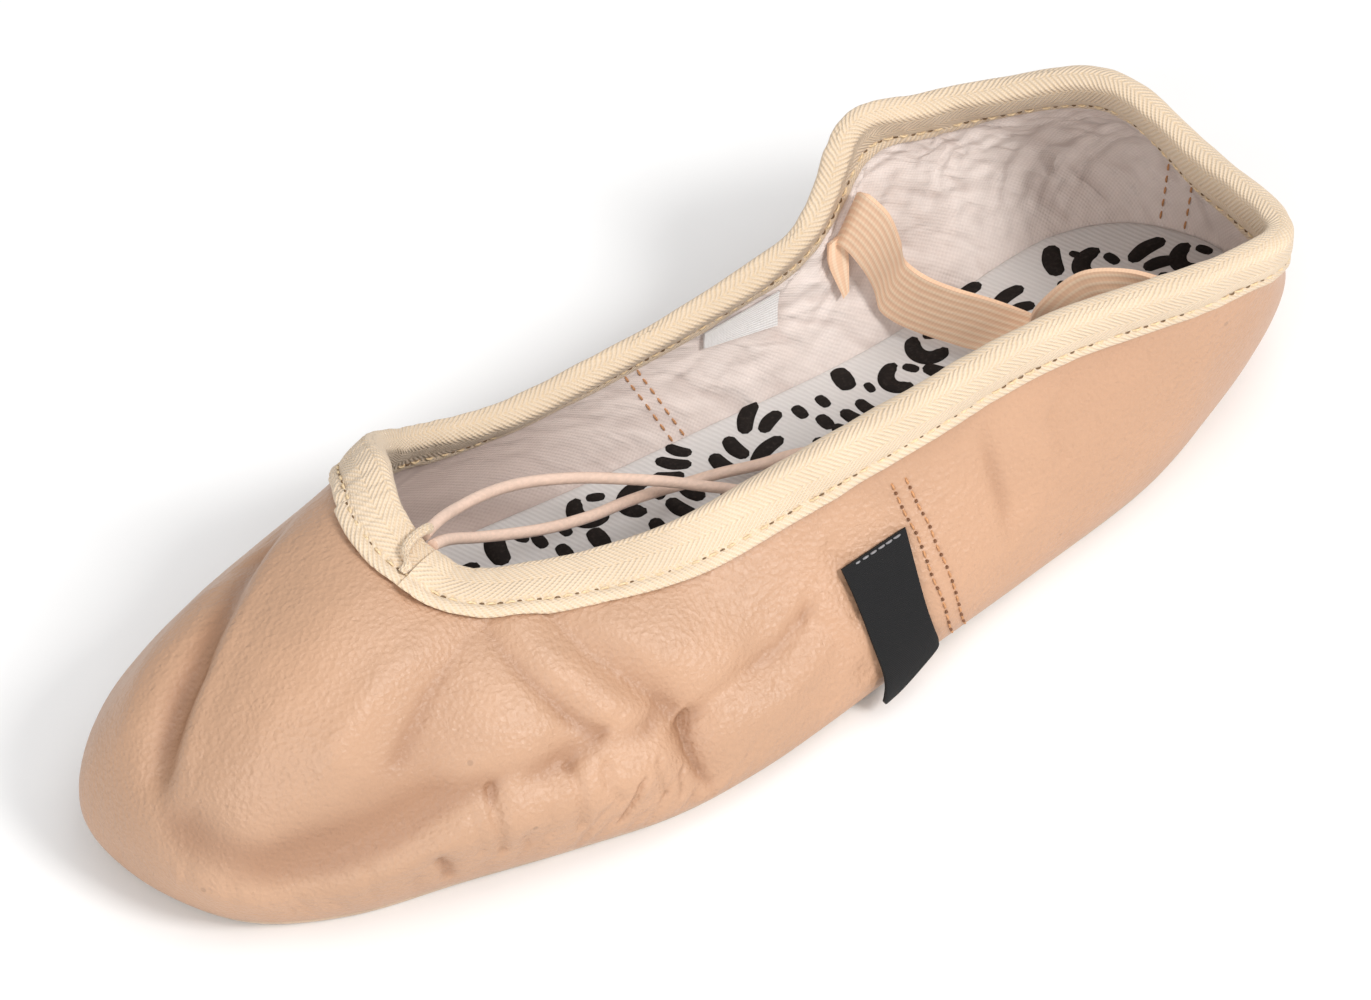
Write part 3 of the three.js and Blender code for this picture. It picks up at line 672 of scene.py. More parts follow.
def herringbone_look(name, base, stripe=3.1, ridge=0.95, depth=0.00024):
    """Cotton tape in a herringbone twill: slanted ridges that turn at each stripe."""
    look = Look(name, Specular_IOR_Level=0.15, Sheen_Weight=0.2)
    u, v = look.weave()
    place = look.place()
    fold = v.maths("PINGPONG", v, stripe)
    sway = look.noise(place, 160.0, 2.0) * 0.5
    ridges = (u + fold * 0.95 + sway).wave(ridge)
    cloth = look.noise(place, 420.0, 3.0, 0.6)
    yarn = (fold - u * 0.35).wave(0.5)
    fuzz = look.noise(place, 1100.0, 3.0, 0.65)
    turn = fold / stripe - 0.5
    edge = (turn * turn * 4.0).within(0.72, 1.0)
    height = (ridges * 0.55 + yarn * 0.2 + fuzz * 0.25 + cloth * 0.30) * (1 - edge * 0.3)
    tone = look.mix(look.noise(place, 60.0, 2.0).within(0.3, 0.7), shaded(base, 0.93), base)
    dark = shaded((base[0], base[1] * 0.86, base[2] * 0.62), 0.88)
    shade = look.mix((1 - height).within(0.15, 0.95) * 0.6, tone, dark)
    return look.feed(Base_Color=shade, Roughness=fuzz * 0.08 + 0.86, Normal=look.bump(height, depth))


def elastic_look(sizes):
    """Ribbed elastic: paler raised lines along it and fine covering yarns across."""
    look = Look("ribbed elastic", Specular_IOR_Level=0.2, Sheen_Weight=0.15)
    u, v = look.weave()
    place = look.place()
    phase = v * (2 * math.pi * sizes.lines / (sizes.width / MM))
    rib = phase.maths("COSINE", phase) * -0.5 + 0.5
    yarn = u.wave(0.55)
    fuzz = look.noise(place, 900.0, 3.0, 0.6)
    base = tuple(sizes.colour)
    pale = colour(246, 224, 198)
    ground_tone = look.mix(rib.within(0.45, 0.9) * 0.7, base, pale)
    dark = shaded((base[0], base[1] * 0.85, base[2] * 0.75), 0.66)
    tone = look.mix((1 - yarn) * 0.16 + fuzz * 0.14, ground_tone, dark)
    height = rib * 0.7 + yarn * 0.22 + fuzz * 0.15
    return look.feed(Base_Color=tone, Roughness=fuzz * 0.1 + 0.8, Normal=look.bump(height, 0.00005))


def cord_look(sizes):
    """Smooth braided elastic cord."""
    look = Look("cord cover", Specular_IOR_Level=0.35, Sheen_Weight=0.1)
    place = look.place()
    braid = look.noise(look.scaled(place, (1.0, 2.0, 2.0)), 900.0, 2.0, 0.5)
    fuzz = look.noise(place, 2600.0, 2.0, 0.6)
    base = tuple(sizes.colour)
    tone = look.mix(braid.within(0.35, 0.7), shaded(base, 0.90), base)
    relief = look.bump(braid * 0.7 + fuzz * 0.3, 0.00006)
    return look.feed(Base_Color=tone, Roughness=braid * 0.15 + 0.5, Normal=relief)


def twill_look():
    """White cotton twill: fine diagonal ridges."""
    look = Look("white twill", Specular_IOR_Level=0.15, Sheen_Weight=0.1)
    place = look.place()
    x, y, _ = look.split(place)
    sway = look.noise(place, 60.0, 2.0) * 0.0012
    ridges = (x * 0.92 + y * 0.42 + sway).wave(0.00085)
    fuzz = look.noise(place, 1200.0, 3.0, 0.65)
    cloud = look.noise(place, 30.0, 2.0)
    base = colour(222, 219, 217)
    tone = look.mix(cloud.within(0.3, 0.7), shaded(base, 0.92), base)
    shade = look.mix((1 - ridges) * 0.16 + fuzz * 0.14, tone, colour(160, 154, 154))
    relief = look.bump(ridges * 0.7 + fuzz * 0.3, 0.00007)
    return look.feed(Base_Color=shade, Roughness=fuzz * 0.1 + 0.84, Normal=relief)


def woven_look(name, base, pitch=0.3, rough=0.72):
    """Tight satin label weave with fine cross ribs."""
    look = Look(name, Specular_IOR_Level=0.3)
    u, v = look.weave()
    place = look.place()
    rib = u.wave(pitch)
    warp = v.wave(pitch * 0.8)
    fuzz = look.noise(place, 1500.0, 3.0, 0.6)
    tone = look.mix(rib * 0.35 + fuzz * 0.3, base, tuple(min(1.0, c * 1.9 + 0.004) for c in base))
    relief = look.bump(rib * 0.6 + warp * 0.3 + fuzz * 0.2, 0.00008)
    return look.feed(Base_Color=tone, Roughness=fuzz * 0.14 + rough, Normal=relief)


def thread_look(name, base):
    """Twisted sewing thread."""
    look = Look(name, Specular_IOR_Level=0.35)
    place = look.place()
    twist = look.noise(place, 2200.0, 2.0, 0.6)
    tone = look.mix(twist.within(0.3, 0.7), shaded(base, 0.72), base)
    return look.feed(Base_Color=tone, Roughness=twist * 0.2 + 0.5, Normal=look.bump(twist, 0.00005))


def print_look():
    """Black ink that soaks into the twill and lets its ridges show."""
    look = Look("fabric ink", Specular_IOR_Level=0.2)
    place = look.place()
    fuzz = look.noise(place, 1300.0, 3.0, 0.7)
    tone = look.mix(fuzz.within(0.45, 0.8) * 0.5, colour(30, 25, 23), colour(66, 58, 54))
    return look.feed(Base_Color=tone, Roughness=fuzz * 0.1 + 0.82, Normal=look.bump(fuzz, 0.00008))


# Settings that a user would change

class LeatherSettings(bpy.types.PropertyGroup):
    """The leather upper."""

    colour: FloatVectorProperty(
        name="Leather", description="Colour of the leather", subtype="COLOR", size=3,
        min=0.0, max=1.0, default=colour(189, 150, 121))
    grain: FloatProperty(
        name="Grain", description="Strength of pores and fine wrinkles", min=0.0, max=3.0, default=1.0)
    columns: IntProperty(
        name="Steps round", description="Faces of the upper round the shoe", min=120, max=940, default=940)


class TapeSettings(bpy.types.PropertyGroup):
    """The collar binding, its tab and its stitches."""

    colour: FloatVectorProperty(
        name="Tape", description="Colour of the cotton tape", subtype="COLOR", size=3,
        min=0.0, max=1.0, default=colour(222, 202, 178))
    pitch: FloatProperty(
        name="Stitch pitch", description="Distance from stitch to stitch", subtype="DISTANCE",
        min=0.001, max=0.01, default=0.0030)
    tunnel: FloatProperty(
        name="Tunnel", description="How far the tape stands out round the drawstring", subtype="DISTANCE",
        min=0.0, max=0.003, default=0.0003)


class StrapSettings(bpy.types.PropertyGroup):
    """The elastic strap over the heel."""

    colour: FloatVectorProperty(
        name="Elastic", description="Colour of the elastic", subtype="COLOR", size=3,
        min=0.0, max=1.0, default=colour(240, 202, 170))
    width: FloatProperty(
        name="Width", description="Width of the elastic", subtype="DISTANCE",
        min=0.006, max=0.02, default=0.012)
    lines: IntProperty(
        name="Lines", description="Raised lines along the elastic", min=3, max=14, default=8)


class CordSettings(bpy.types.PropertyGroup):
    """The two ends of the drawstring."""

    colour: FloatVectorProperty(
        name="Cord", description="Colour of the cord", subtype="COLOR", size=3,
        min=0.0, max=1.0, default=colour(226, 197, 179))
    diameter: FloatProperty(
        name="Diameter", description="Diameter of the cord", subtype="DISTANCE",
        min=0.001, max=0.003, default=0.0019)


class SlipperSettings(bpy.types.PropertyGroup):
    """All settings of the slipper."""

    leather: PointerProperty(type=LeatherSettings)
    tape: PointerProperty(type=TapeSettings)
    strap: PointerProperty(type=StrapSettings)
    cord: PointerProperty(type=CordSettings)


# Camera, floor and light

# Turn, rise and roll in degrees, then distance and target in millimetres.
CAMERA_TURN = (-22.33, 46.44, -9.09)
CAMERA_DISTANCE = 999.9
CAMERA_TARGET = (-2.98, -20.59, 40.67)
# The photograph's focal length and width in pixels.
FOCAL_PIXELS, PHOTO_WIDTH = 6526.4, 1371
SENSOR_WIDTH = 36.0
FLOOR_HALF = 3.0
BACKDROP_STRENGTH = 0.60

# Lights: name, place, aim, size, power and tint.
LIGHTS = (
    ("key", (0.52, -1.00, 1.02), (0, 0, 0.03), (0.36, 0.36), 12.5, (1.0, 0.995, 0.98)),
    ("top", (0.45, -0.30, 1.15), (0, 0, 0.02), (0.9, 0.9), 4.0, (1.0, 1.0, 1.0)),
    ("fill", (-0.95, -0.85, 0.66), (0, 0, 0.03), (0.9, 0.9), 8.5, (1.0, 1.0, 1.0)),
)


def photo_camera():
    """The camera at the photograph's angle."""
    azimuth, elevation, roll = (math.radians(a) for a in CAMERA_TURN)
    level = math.cos(elevation)
    back = Vector((math.sin(azimuth) * level, -math.cos(azimuth) * level, math.sin(elevation)))
    right = Vector((math.cos(azimuth), math.sin(azimuth), 0))
    up = back.cross(right)
    side = right * math.cos(roll) + up * math.sin(roll)
    top = up * math.cos(roll) - right * math.sin(roll)
    data = bpy.data.cameras.new("camera")
    data.lens = FOCAL_PIXELS / PHOTO_WIDTH * SENSOR_WIDTH
    data.sensor_width = SENSOR_WIDTH
    data.clip_start, data.clip_end = 0.05, 20.0
    camera = bpy.data.objects.new("camera", data)
    camera.matrix_world = Matrix((
        (side.x, top.x, back.x, 0), (side.y, top.y, back.y, 0), (side.z, top.z, back.z, 0), (0, 0, 0, 1)))
    camera.location = Vector(metres(CAMERA_TARGET)) + back * CAMERA_DISTANCE * MM
    bpy.context.scene.collection.objects.link(camera)
    bpy.context.scene.camera = camera


def soft_light(name, place, aim, size, power, tint):
    """A rectangle of light that shines from a place towards its aim."""
    data = bpy.data.lights.new(name, "AREA")
    data.shape = "RECTANGLE"
    data.size, data.size_y = size
    data.energy = power
    data.color = tint
    light = bpy.data.objects.new(name, data)
    light.location = place
    light.rotation_mode = "QUATERNION"
    light.rotation_quaternion = (Vector(aim) - Vector(place)).to_track_quat("-Z", "Y")
    bpy.context.scene.collection.objects.link(light)


class SLIPPER_OT_stage(bpy.types.Operator):
    """Sets up the camera, a plain pale floor and soft light"""

    bl_idname = "slipper.stage"
    bl_label = "Stage"

    def execute(self, context):
        photo_camera()
        look = Look("pale floor", Specular_IOR_Level=0.1)
        paper = look.noise(look.place(), 40.0, 2.0)
        tone = look.mix(paper, (0.86, 0.86, 0.86), (0.90, 0.90, 0.90))
        look.feed(Base_Color=tone, Roughness=paper * 0.1 + 0.8)
        mesh = bpy.data.meshes.new("floor")
        corners = [(x * FLOOR_HALF, y * FLOOR_HALF, 0) for x, y in ((-1, -1), (1, -1), (1, 1), (-1, 1))]
        mesh.from_pydata(corners, [], [(0, 1, 2, 3)])
        mesh.materials.append(look.material)
        floor = bpy.data.objects.new("floor", mesh)
        context.scene.collection.objects.link(floor)
        for light in LIGHTS:
            soft_light(*light)
        world = bpy.data.worlds.new("studio")
        world.use_nodes = True
        backdrop = world.node_tree.nodes["Background"]
        backdrop.inputs["Color"].default_value = (1.0, 1.0, 1.0, 1.0)
        backdrop.inputs["Strength"].default_value = BACKDROP_STRENGTH
        context.scene.world = world
        context.scene.view_settings.view_transform = "Standard"
        return {"FINISHED"}


# The drawstring's two free ends, from the throat tab to the bare cut ends on the insole.
DRAWSTRING = {
    "drawstring_upper_end": [
        (-40.6, -6.4, 43.4), (-38.6, -4.6, 42.4), (-35.8, -2.2, 40.6), (-32.4, 0.9, 37.6),
        (-25.6, 4.3, 34.0), (-18.3, 6.6, 30.0),
        (-9.8, 6.5, 26.0), (-2.2, 5.5, 22.0), (5.2, 4.1, 18.0), (9.9, 2.6, 15.5), (14.0, 1.2, 13.5),
        (21.0, -2.6, 10.4), (29.0, -6.6, 8.4), (37.0, -9.6, 8.0), (45.0, -11.6, 7.8), (52.0, -12.6, 7.6)],
    "drawstring_lower_end": [
        (-40.4, -8.4, 42.6), (-38.5, -6.9, 41.0), (-35.6, -4.6, 37.8), (-30.6, -2.3, 33.0),
        (-19.2, -0.3, 26.0), (-9.7, 2.7, 20.5),
        (-2.8, 5.8, 16.5), (3.8, 8.1, 13.0), (9.9, 9.1, 10.5), (15.6, 8.9, 9.4), (22.3, 7.6, 8.6),
        (27.6, 6.7, 8.3), (32.4, 5.0, 8.1), (39.0, 1.6, 7.9), (46.0, -2.6, 7.7), (52.0, -6.4, 7.6)],
}


class SLIPPER_OT_drawstring(bpy.types.Operator):
    """Lays the two free ends of the drawstring"""

    bl_idname = "slipper.drawstring"
    bl_label = "Drawstring"

    def execute(self, context):
        sizes = context.scene.slipper.cord
        look = cord_look(sizes)
        for node, route in DRAWSTRING.items():
            points = metres(smooth_line(route, 113))
            curve = bpy.data.curves.new("cord_" + node, "CURVE")
            curve.dimensions = "3D"
            curve.bevel_depth = sizes.diameter / 2
            curve.bevel_resolution = 4
            curve.use_fill_caps = True
            spline = curve.splines.new("POLY")
            spline.points.add(len(points) - 1)
            spline.points.foreach_set("co", np.hstack([points, np.ones((len(points), 1))]).ravel())
            spline.use_smooth = True
            curve.materials.append(look)
            piece = bpy.data.objects.new("cord_" + node, curve)
            context.scene.collection.objects.link(piece)
            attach(piece, "root")
            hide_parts(node)
        return {"FINISHED"}


def gathers():
    """Short upright puckers where the leather is drawn under the sole."""
    draw = np.random.default_rng(11)
    table = []
    for at in np.arange(-0.11, 0.275, 0.0105):
        place = at + draw.uniform(-0.003, 0.003)
        deep = 0.25 if place < 0.12 else 0.42
        top = draw.uniform(0.10, 0.20) if place < 0.12 else draw.uniform(0.16, 0.34)
        lean = draw.uniform(-0.006, 0.006)
        depth, half = deep * draw.uniform(0.4, 1.0), draw.uniform(0.9, 1.5)
        table.append((depth, half, [(place, 0.03), (place + lean, top)]))
    return table


# Stitch rows of the side seam on the outer side, and of the seam of the lining across from it.
SEAM_LEFT = [
    (0.302, 0.81), (0.310, 0.69), (0.317, 0.60), (0.322, 0.52), (0.327, 0.43),
    (0.332, 0.34), (0.336, 0.24), (0.342, 0.06)]
SEAM_RIGHT = [
    (0.308, 0.80), (0.316, 0.68), (0.322, 0.60), (0.326, 0.53), (0.331, 0.45),
    (0.335, 0.37), (0.339, 0.27), (0.346, 0.06)]
FAR_SEAM = [(0.726, 0.80), (0.726, 0.60), (0.725, 0.37), (0.721, 0.14), (0.718, 0.01)]
HEEL_SEAMS = [[(0.528, 0.36), (0.530, 0.17), (0.533, 0.01)], [(0.521, 0.20), (0.522, 0.11), (0.523, 0.02)]]
SEAM_MIDDLE = [((a[0] + b[0]) / 2, (a[1] + b[1]) / 2) for a, b in zip(SEAM_LEFT, SEAM_RIGHT)]

# How strongly painted shade darkens the hollows of the broad folds.
HOLLOW_SHADE = 0.30


def fine_relief(place, share):
    """Creases, puckers, seam laps and soft unevenness of the outer face, in millimetres."""
    calm = np.sin(np.pi * np.clip(share, 0, 1)) ** 0.5
    fine = creases(place, share, CREASES)
    fine = fine + creases(place, share, gathers()) / np.maximum(0.35, calm**2)
    fine = fine + creases(place, share, [(-0.45, 2.2, SEAM_MIDDLE), (-0.4, 2.0, FAR_SEAM)])
    soft = 0.16 * lumps(place * 40, share * 5.0, 3) + 0.09 * lumps(place * 96, share * 12.0, 4)
    return fine + calm * soft


def hollow_relief(place, share):
    """The troughs alone, widened, so that what lies behind the outer face stays clear of it."""
    troughs = [(depth, max(half, 2.4), path) for depth, half, path in CREASES + gathers() if depth > 0]
    return creases(place, share, troughs)


class SLIPPER_OT_upper(bpy.types.Operator):
    """Builds the leather upper"""

    bl_idname = "slipper.upper"
    bl_label = "Upper"

    def execute(self, context):
        sizes = context.scene.slipper.leather
        even = np.arange(sizes.columns) / sizes.columns
        place = (even - CROWDING * np.sin(2 * np.pi * (even - CROWDED_AT)))[:, None]
        up = np.linspace(0, 1, OUTER_ROWS)[None]
        fine = fine_relief(place, up)
        outer = skin(place, up, fine)
        inner_up = np.linspace(1, 0, INNER_ROWS)[None]
        inner = skin(place, inner_up, hollow_relief(place, inner_up) - SKIN)
        foot = outer[:, 0]
        out = outwards(foot)
        corner = inner[:, -1] * [1, 1, 0] + UP * (foot[:, 2:] + SKIN)
        turned_in = foot - out * TURN_IN
        under = turned_in * [1, 1, 0] + UP * (OUTSOLE + GAP + ground(turned_in[:, 0]))[:, None]
        hem = np.stack([corner, under + UP * SKIN, under], 1)
        grid = np.concatenate([outer, inner, hem], 1)
        # Painted shade: the fine troughs and the broad fold hollows of the outer face set how far its colour
        # is darkened.
        crease_shade_depth = np.zeros(grid.shape[:2])
        hollow = np.clip(-creases(place, up, FOLDS), 0, None)
        crease_shade_depth[:, :OUTER_ROWS] = np.clip(-fine, 0, None) + HOLLOW_SHADE * hollow
        v = np.arange(grid.shape[1] + 1.0)
        look = leather_look(sizes)
        ring_piece("leather_upper", look, grid, "leather", True, v=v, crease_shade_depth=crease_shade_depth, replaces=["upper"])
        return {"FINISHED"}


def lining_height(place, share):
    """Wrinkles of the lining towards the inside of the shoe, in millimetres."""
    x = place * ROUND_LENGTH
    y = share * RIB_LENGTH
    calm = np.sin(np.pi * np.clip(share, 0.0, 1)) ** 0.6
    slanted = 1 - 2.4 * np.abs(lumps((x + y * 0.9) / 3.6, (y - x * 0.5) / 10.0, 7))
    puckered = 1 - 2.2 * np.abs(lumps(x / 4.4, y / 4.0, 8))
    small = lumps(x / 2.3, y / 2.1, 9)
    back = np.clip((place - 0.36) / 0.10, 0, 1) * np.clip((0.725 - place) / 0.02, 0.12, 1)
    flat = 1 - 0.9 * np.exp(-(((place - 0.699) / 0.016) ** 2) - ((share - 0.36) / 0.12) ** 2)
    return (0.46 * slanted + 0.34 * puckered + 0.17 * small) * np.maximum(back, 0.18) * calm * flat


class SLIPPER_OT_lining(bpy.types.Operator):
    """Builds the cotton lining"""

    bl_idname = "slipper.lining"
    bl_label = "Lining"

    def execute(self, context):
        places = np.arange(LINING_COLUMNS) / LINING_COLUMNS
        place = places[:, None]
        up = np.linspace(LINING_TOP, 0.0, LINING_ROWS)[None]
        behind = np.linspace(0.0, LINING_TOP, LINING_BACK_ROWS)[None]
        face = skin(place, up, hollow_relief(place, up) - LEATHER - 0.1 - lining_height(place, up))
        back = skin(place, behind, hollow_relief(place, behind) - SKIN - 0.12)
        grid = np.concatenate([face, back], 1)
        u = lengths(skin(places, 0.5))
        u = np.append(u, u[-1] * (1 + 1 / LINING_COLUMNS))
        down = np.linspace(0, RIB_LENGTH, LINING_ROWS)
        v = np.concatenate([down, np.linspace(RIB_LENGTH, 0, LINING_BACK_ROWS), [0]])
        ring_piece("lining", lining_look(), grid, "twill", True, u=u, v=v)
        return {"FINISHED"}


def tape_section(tunnel):
    """The folded tape over the rim: distance below the rim and height off the leather."""
    face, inside = TAPE_GAP + TAPE, -LEATHER - TAPE_GAP - TAPE
    middle = -LEATHER / 2
    reach = LEATHER / 2 + face + tunnel * 0.4
    outer = [
        (9.1, face - 0.40), (8.9, face - 0.12), (8.2, face + 0.1), (7.4, face + 0.05), (6.8, face - 0.22),
        (6.1, face + 0.05), (5.0, face + tunnel * 0.7), (3.4, face + tunnel), (1.6, face + tunnel * 0.9)]
    turns = np.radians([8, 35, 62, 90, 118, 145, 172])
    arch = [(-GAP - math.sin(a) * reach * 0.5, middle + math.cos(a) * reach) for a in turns]
    inner = [
        (1.6, inside - tunnel * 0.7), (3.4, inside - tunnel * 0.7), (5.2, inside - tunnel * 0.2),
        (6.1, inside + 0.12), (7.0, inside - 0.05), (8.0, inside - 0.05), (8.5, inside + 0.1)]
    points = np.array([(b, h, 0.0) for b, h in outer + arch + inner])
    return smooth_line(points, 46)[:, :2]


# Places where the tape starts and ends, a little past one turn, and how far its first end reaches back.
TAPE_START, TAPE_END = 0.0985, 1.1005
TAPE_LAP = 0.012
# How much less of the tape shows outside, at most, then places and shares of that round the shoe.
TAPE_SHORTER = 2.2
TAPE_SHORTENING = ((0.12, 0.22, 0.33, 0.42, 0.47, 0.52), (0.0, 0.35, 0.6, 1.0, 0.8, 0.3))
# Places of the tab outside, over the rim and inside, and half its width as a share round the shoe.
TAB_PLACES = (0.082, 0.067, 0.057)
TAB_HALF = 0.0050


def tape_shorter(places):
    """How much less of the tape shows outside at these places, in millimetres."""
    return TAPE_SHORTER * np.interp(np.mod(places, 1.0), *TAPE_SHORTENING)


class SLIPPER_OT_collar(bpy.types.Operator):
    """Builds the collar binding with its stitches"""

    bl_idname = "slipper.collar"
    bl_label = "Collar binding"

    def execute(self, context):
        sizes = context.scene.slipper.tape
        look = herringbone_look("herringbone tape", tuple(sizes.colour))
        section = tape_section(sizes.tunnel / MM)
        along = unit(np.gradient(section, axis=0))
        off = np.stack([along[:, 1], -along[:, 0]], -1)
        core = section.mean(0)
        if ((section + off - core) ** 2).sum() < ((section - core) ** 2).sum():
            off = -off
        under = section - off * (TAPE - 0.1)
        span = TAPE_END - TAPE_START + TAPE_LAP
        places = TAPE_START - TAPE_LAP + span * np.arange(TAPE_COLUMNS) / (TAPE_COLUMNS - 1)
        round_shoe = places[:, None]
        # The end that lies on top stands off the other one and covers its edge.
        lift = 0.9 * np.clip((TAPE_START + 0.006 - round_shoe) / 0.010, 0, 1)
        wide = 0.6 * np.clip((TAPE_START + 0.010 - round_shoe) / 0.012, 0, 1)
        ring = np.vstack([section, under[::-1]])
        is_out = np.linspace(1, -1, len(section))
        sway = np.append(is_out, is_out[::-1])[None]
        near, edge = np.abs(sway), np.clip(sway * 2, 0, 1)
        puff = 0.20 * lumps(round_shoe * 90, near * 2, 21) + 0.10 * lumps(round_shoe * 240, near * 5, 22)
        below = ring[None, :, 0] * (1 - tape_shorter(round_shoe) * edge / TAPE_OUTER) + wide * edge
        height = ring[None, :, 1] + (lift * np.clip(near * 4, 0, 1) + puff) * np.sign(sway)
        grid = by_rim(np.broadcast_to(round_shoe, below.shape), below, height)
        u = np.append(lengths(by_rim(places, 0.0, 0.0)), 0)
        run = lengths(np.column_stack([section, np.zeros(len(section))]))
        v = np.concatenate([run, run[::-1], [0]])
        ring_piece("binding_tape", look, grid, "cotton_tape", False, u=u, v=v, sharp=50,
                   replaces=["collar_binding"])
        cream = thread_look("binding thread", colour(232, 206, 166))
        # Short dark pieces at the needle holes between the stitches: painted shadow in the holes.
        shadow = thread_look("needle hole shadows", colour(120, 92, 62))
        pitch = sizes.pitch / MM
        stitch = pitch * 0.66
        threads, hole_shadows = [], []
        line = np.linspace(TAPE_START, TAPE_END - 0.004, 900)
        for below_rim, lying in ((6.8, TAPE_GAP + TAPE - 0.18), (6.1, -LEATHER - TAPE_GAP - TAPE + 0.08)):
            way = 1 if lying > 0 else -1
            down = below_rim * (1 - tape_shorter(line) * (way > 0) / TAPE_OUTER)
            row = by_rim(line, down, lying)
            away = by_rim(line, down, lying + way) - row
            threads.append(thread_run(row, away, pitch, stitch, 0.22, dip=0.35))
            hole_shadows.append(thread_run(
                row, away, pitch, pitch * 0.34, 0.15, dip=0.2, first=0.5 + stitch, missing=0.3))
        joined_piece("binding_stitches", cream, threads)
        joined_piece("binding_needle_hole_shadows", shadow, hole_shadows)
        return {"FINISHED"}


class SLIPPER_OT_throat_tab(bpy.types.Operator):
    """Builds the narrow tape tab at the throat"""

    bl_idname = "slipper.throat_tab"
    bl_label = "Throat tab"

    def execute(self, context):
        sizes = context.scene.slipper.tape
        tunnel = sizes.tunnel / MM
        off = TAPE_GAP + TAPE + tunnel + 0.9
        inside = -LEATHER - off
        radius = LEATHER / 2 + off
        outer, over, inner = TAB_PLACES
        route = [(outer, TAPE_OUTER - 2.6, TAPE_GAP + TAPE), (outer, TAPE_OUTER - 3.6, off - 0.3),
                 ((outer + over) / 2, TAPE_OUTER / 2, off), (over, 0.5, off)]
        for angle in np.radians([30, 60, 90, 120, 150]):
            below = -GAP - math.sin(angle) * radius * 0.9
            route.append((over, below, -LEATHER / 2 + math.cos(angle) * radius))
        route += [
            (over, 0.5, inside), ((over + inner) / 2, TAPE_INNER / 2, inside),
            (inner, TAPE_INNER - 1, inside)]
        route = smooth_line([(p * 100, b, h) for p, b, h in route], TAB_STEPS)
        place = route[:, 0] / 100
        half = TAB_HALF * np.interp(np.linspace(0, 1, TAB_STEPS), [0, 0.4, 1], [0.55, 1, 1])
        front, back = (by_rim(place + side * half, route[:, 1], route[:, 2]) for side in (-1, 1))
        look = herringbone_look("tab tape", tuple(sizes.colour), stripe=1.2, ridge=0.9)

        def crown(share):
            yarns = 0.10 * np.cos(2 * np.pi * 4 * share)
            return 0.3 + 0.75 * np.sin(np.pi * share) ** 0.6 - yarns * np.sin(np.pi * share)

        band("tab_tape", look, front, back, "cotton_tape", crown, across=24, replaces=["throat_tab"])
        return {"FINISHED"}


# Middle line of the strap as shares of sole length, ball width and heel height, and its way across.
STRAP = [
    (0.2519, 0.4160, 0.5540, 0.567, 0.200, 0.558), (0.2509, 0.3660, 0.6160, 0.400, -0.133, 0.833),
    (0.2587, 0.3306, 0.5560, 0.408, -0.233, 0.867), (0.2642, 0.3139, 0.4480, 0.333, -0.333, 0.867),
    (0.2679, 0.3167, 0.3340, 0.367, -0.233, 0.850), (0.2759, 0.2875, 0.2900, 0.383, -0.283, 0.850),
    (0.2873, 0.2333, 0.2760, 0.417, -0.300, 0.833), (0.3054, 0.1653, 0.2600, 0.575, -0.350, 0.733),
    (0.3205, 0.1069, 0.2460, 0.675, -0.383, 0.617), (0.3358, 0.0278, 0.2600, 0.800, -0.467, 0.400),
    (0.3450, -0.0417, 0.3600, 0.933, -0.333, -0.083), (0.3420, -0.1250, 0.5500, 0.800, -0.400, -0.433),
    (0.3560, -0.1780, 0.6420, 0.317, -0.350, -0.883), (0.3780, -0.2430, 0.6660, 0.133, -0.267, -0.933),
    (0.3972, -0.3300, 0.6740, 0.133, -0.100, -0.950), (0.4057, -0.3780, 0.6720, 0.167, 0.183, -0.967),
]


# Cut tail of the strap that hangs below its stitched end.
STRAP_TAIL_RIGHT = [(0.6640, 0.50, -3.6), (0.6645, 0.40, -4.2), (0.6670, 0.24, -4.0)]
STRAP_TAIL_LEFT = [(0.6705, 0.50, -3.0), (0.6715, 0.40, -3.2), (0.6690, 0.22, -3.4)]


class SLIPPER_OT_strap(bpy.types.Operator):
    """Builds the ribbed elastic strap over the heel"""

    bl_idname = "slipper.strap"
    bl_label = "Elastic strap"

    def execute(self, context):
        sizes = context.scene.slipper.strap
        rows = np.array(STRAP)
        middle = rows[:, :3] * [SOLE_LENGTH, BALL_WIDTH, HEEL_HEIGHT]
        across = rows[:, 3:] * sizes.width / MM / 2
        front, back = smooth_line(middle - across, 301), smooth_line(middle + across, 301)
        lines = sizes.lines

        def rib(share):
            return 0.46 + 0.015 * (0.5 - 0.5 * np.cos(2 * np.pi * lines * share))

        band("strap_elastic", elastic_look(sizes), front, back, "elastic", rib, across=lines * 8, sharp=60,
             replaces=["elastic_strap"])
        front, back = along_skin(STRAP_TAIL_RIGHT, 31), along_skin(STRAP_TAIL_LEFT, 31)
        band("strap_tail", elastic_look(sizes), front, back, "elastic", 0.45, across=8, sharp=60)
        return {"FINISHED"}


def lined_outline(height, count=360):
    """The outline in which a level cloth meets the lining at a height over the sole."""
    places = np.arange(count) / count
    shares = np.linspace(0, 0.35, 60)
    wall = skin(places[:, None], shares[None], -LEATHER - 0.25)
    level = height + ground(wall[..., 0])
    line = np.zeros((count, 3))
    for i in range(count):
        above = np.maximum.accumulate(wall[i, :, 2] - level[i])
        share = np.interp(0.0, above, shares)
        line[i] = [np.interp(share, shares, wall[i, :, c]) for c in range(3)]
    return line


def middle_line(outline):
    """For each point of an outline, the nearest one of the sole's middle line."""
    spine = outline.copy()
    spine[:, 0] = np.clip(outline[:, 0], *SPINE)
    spine[:, 1] = 0.0
    return spine


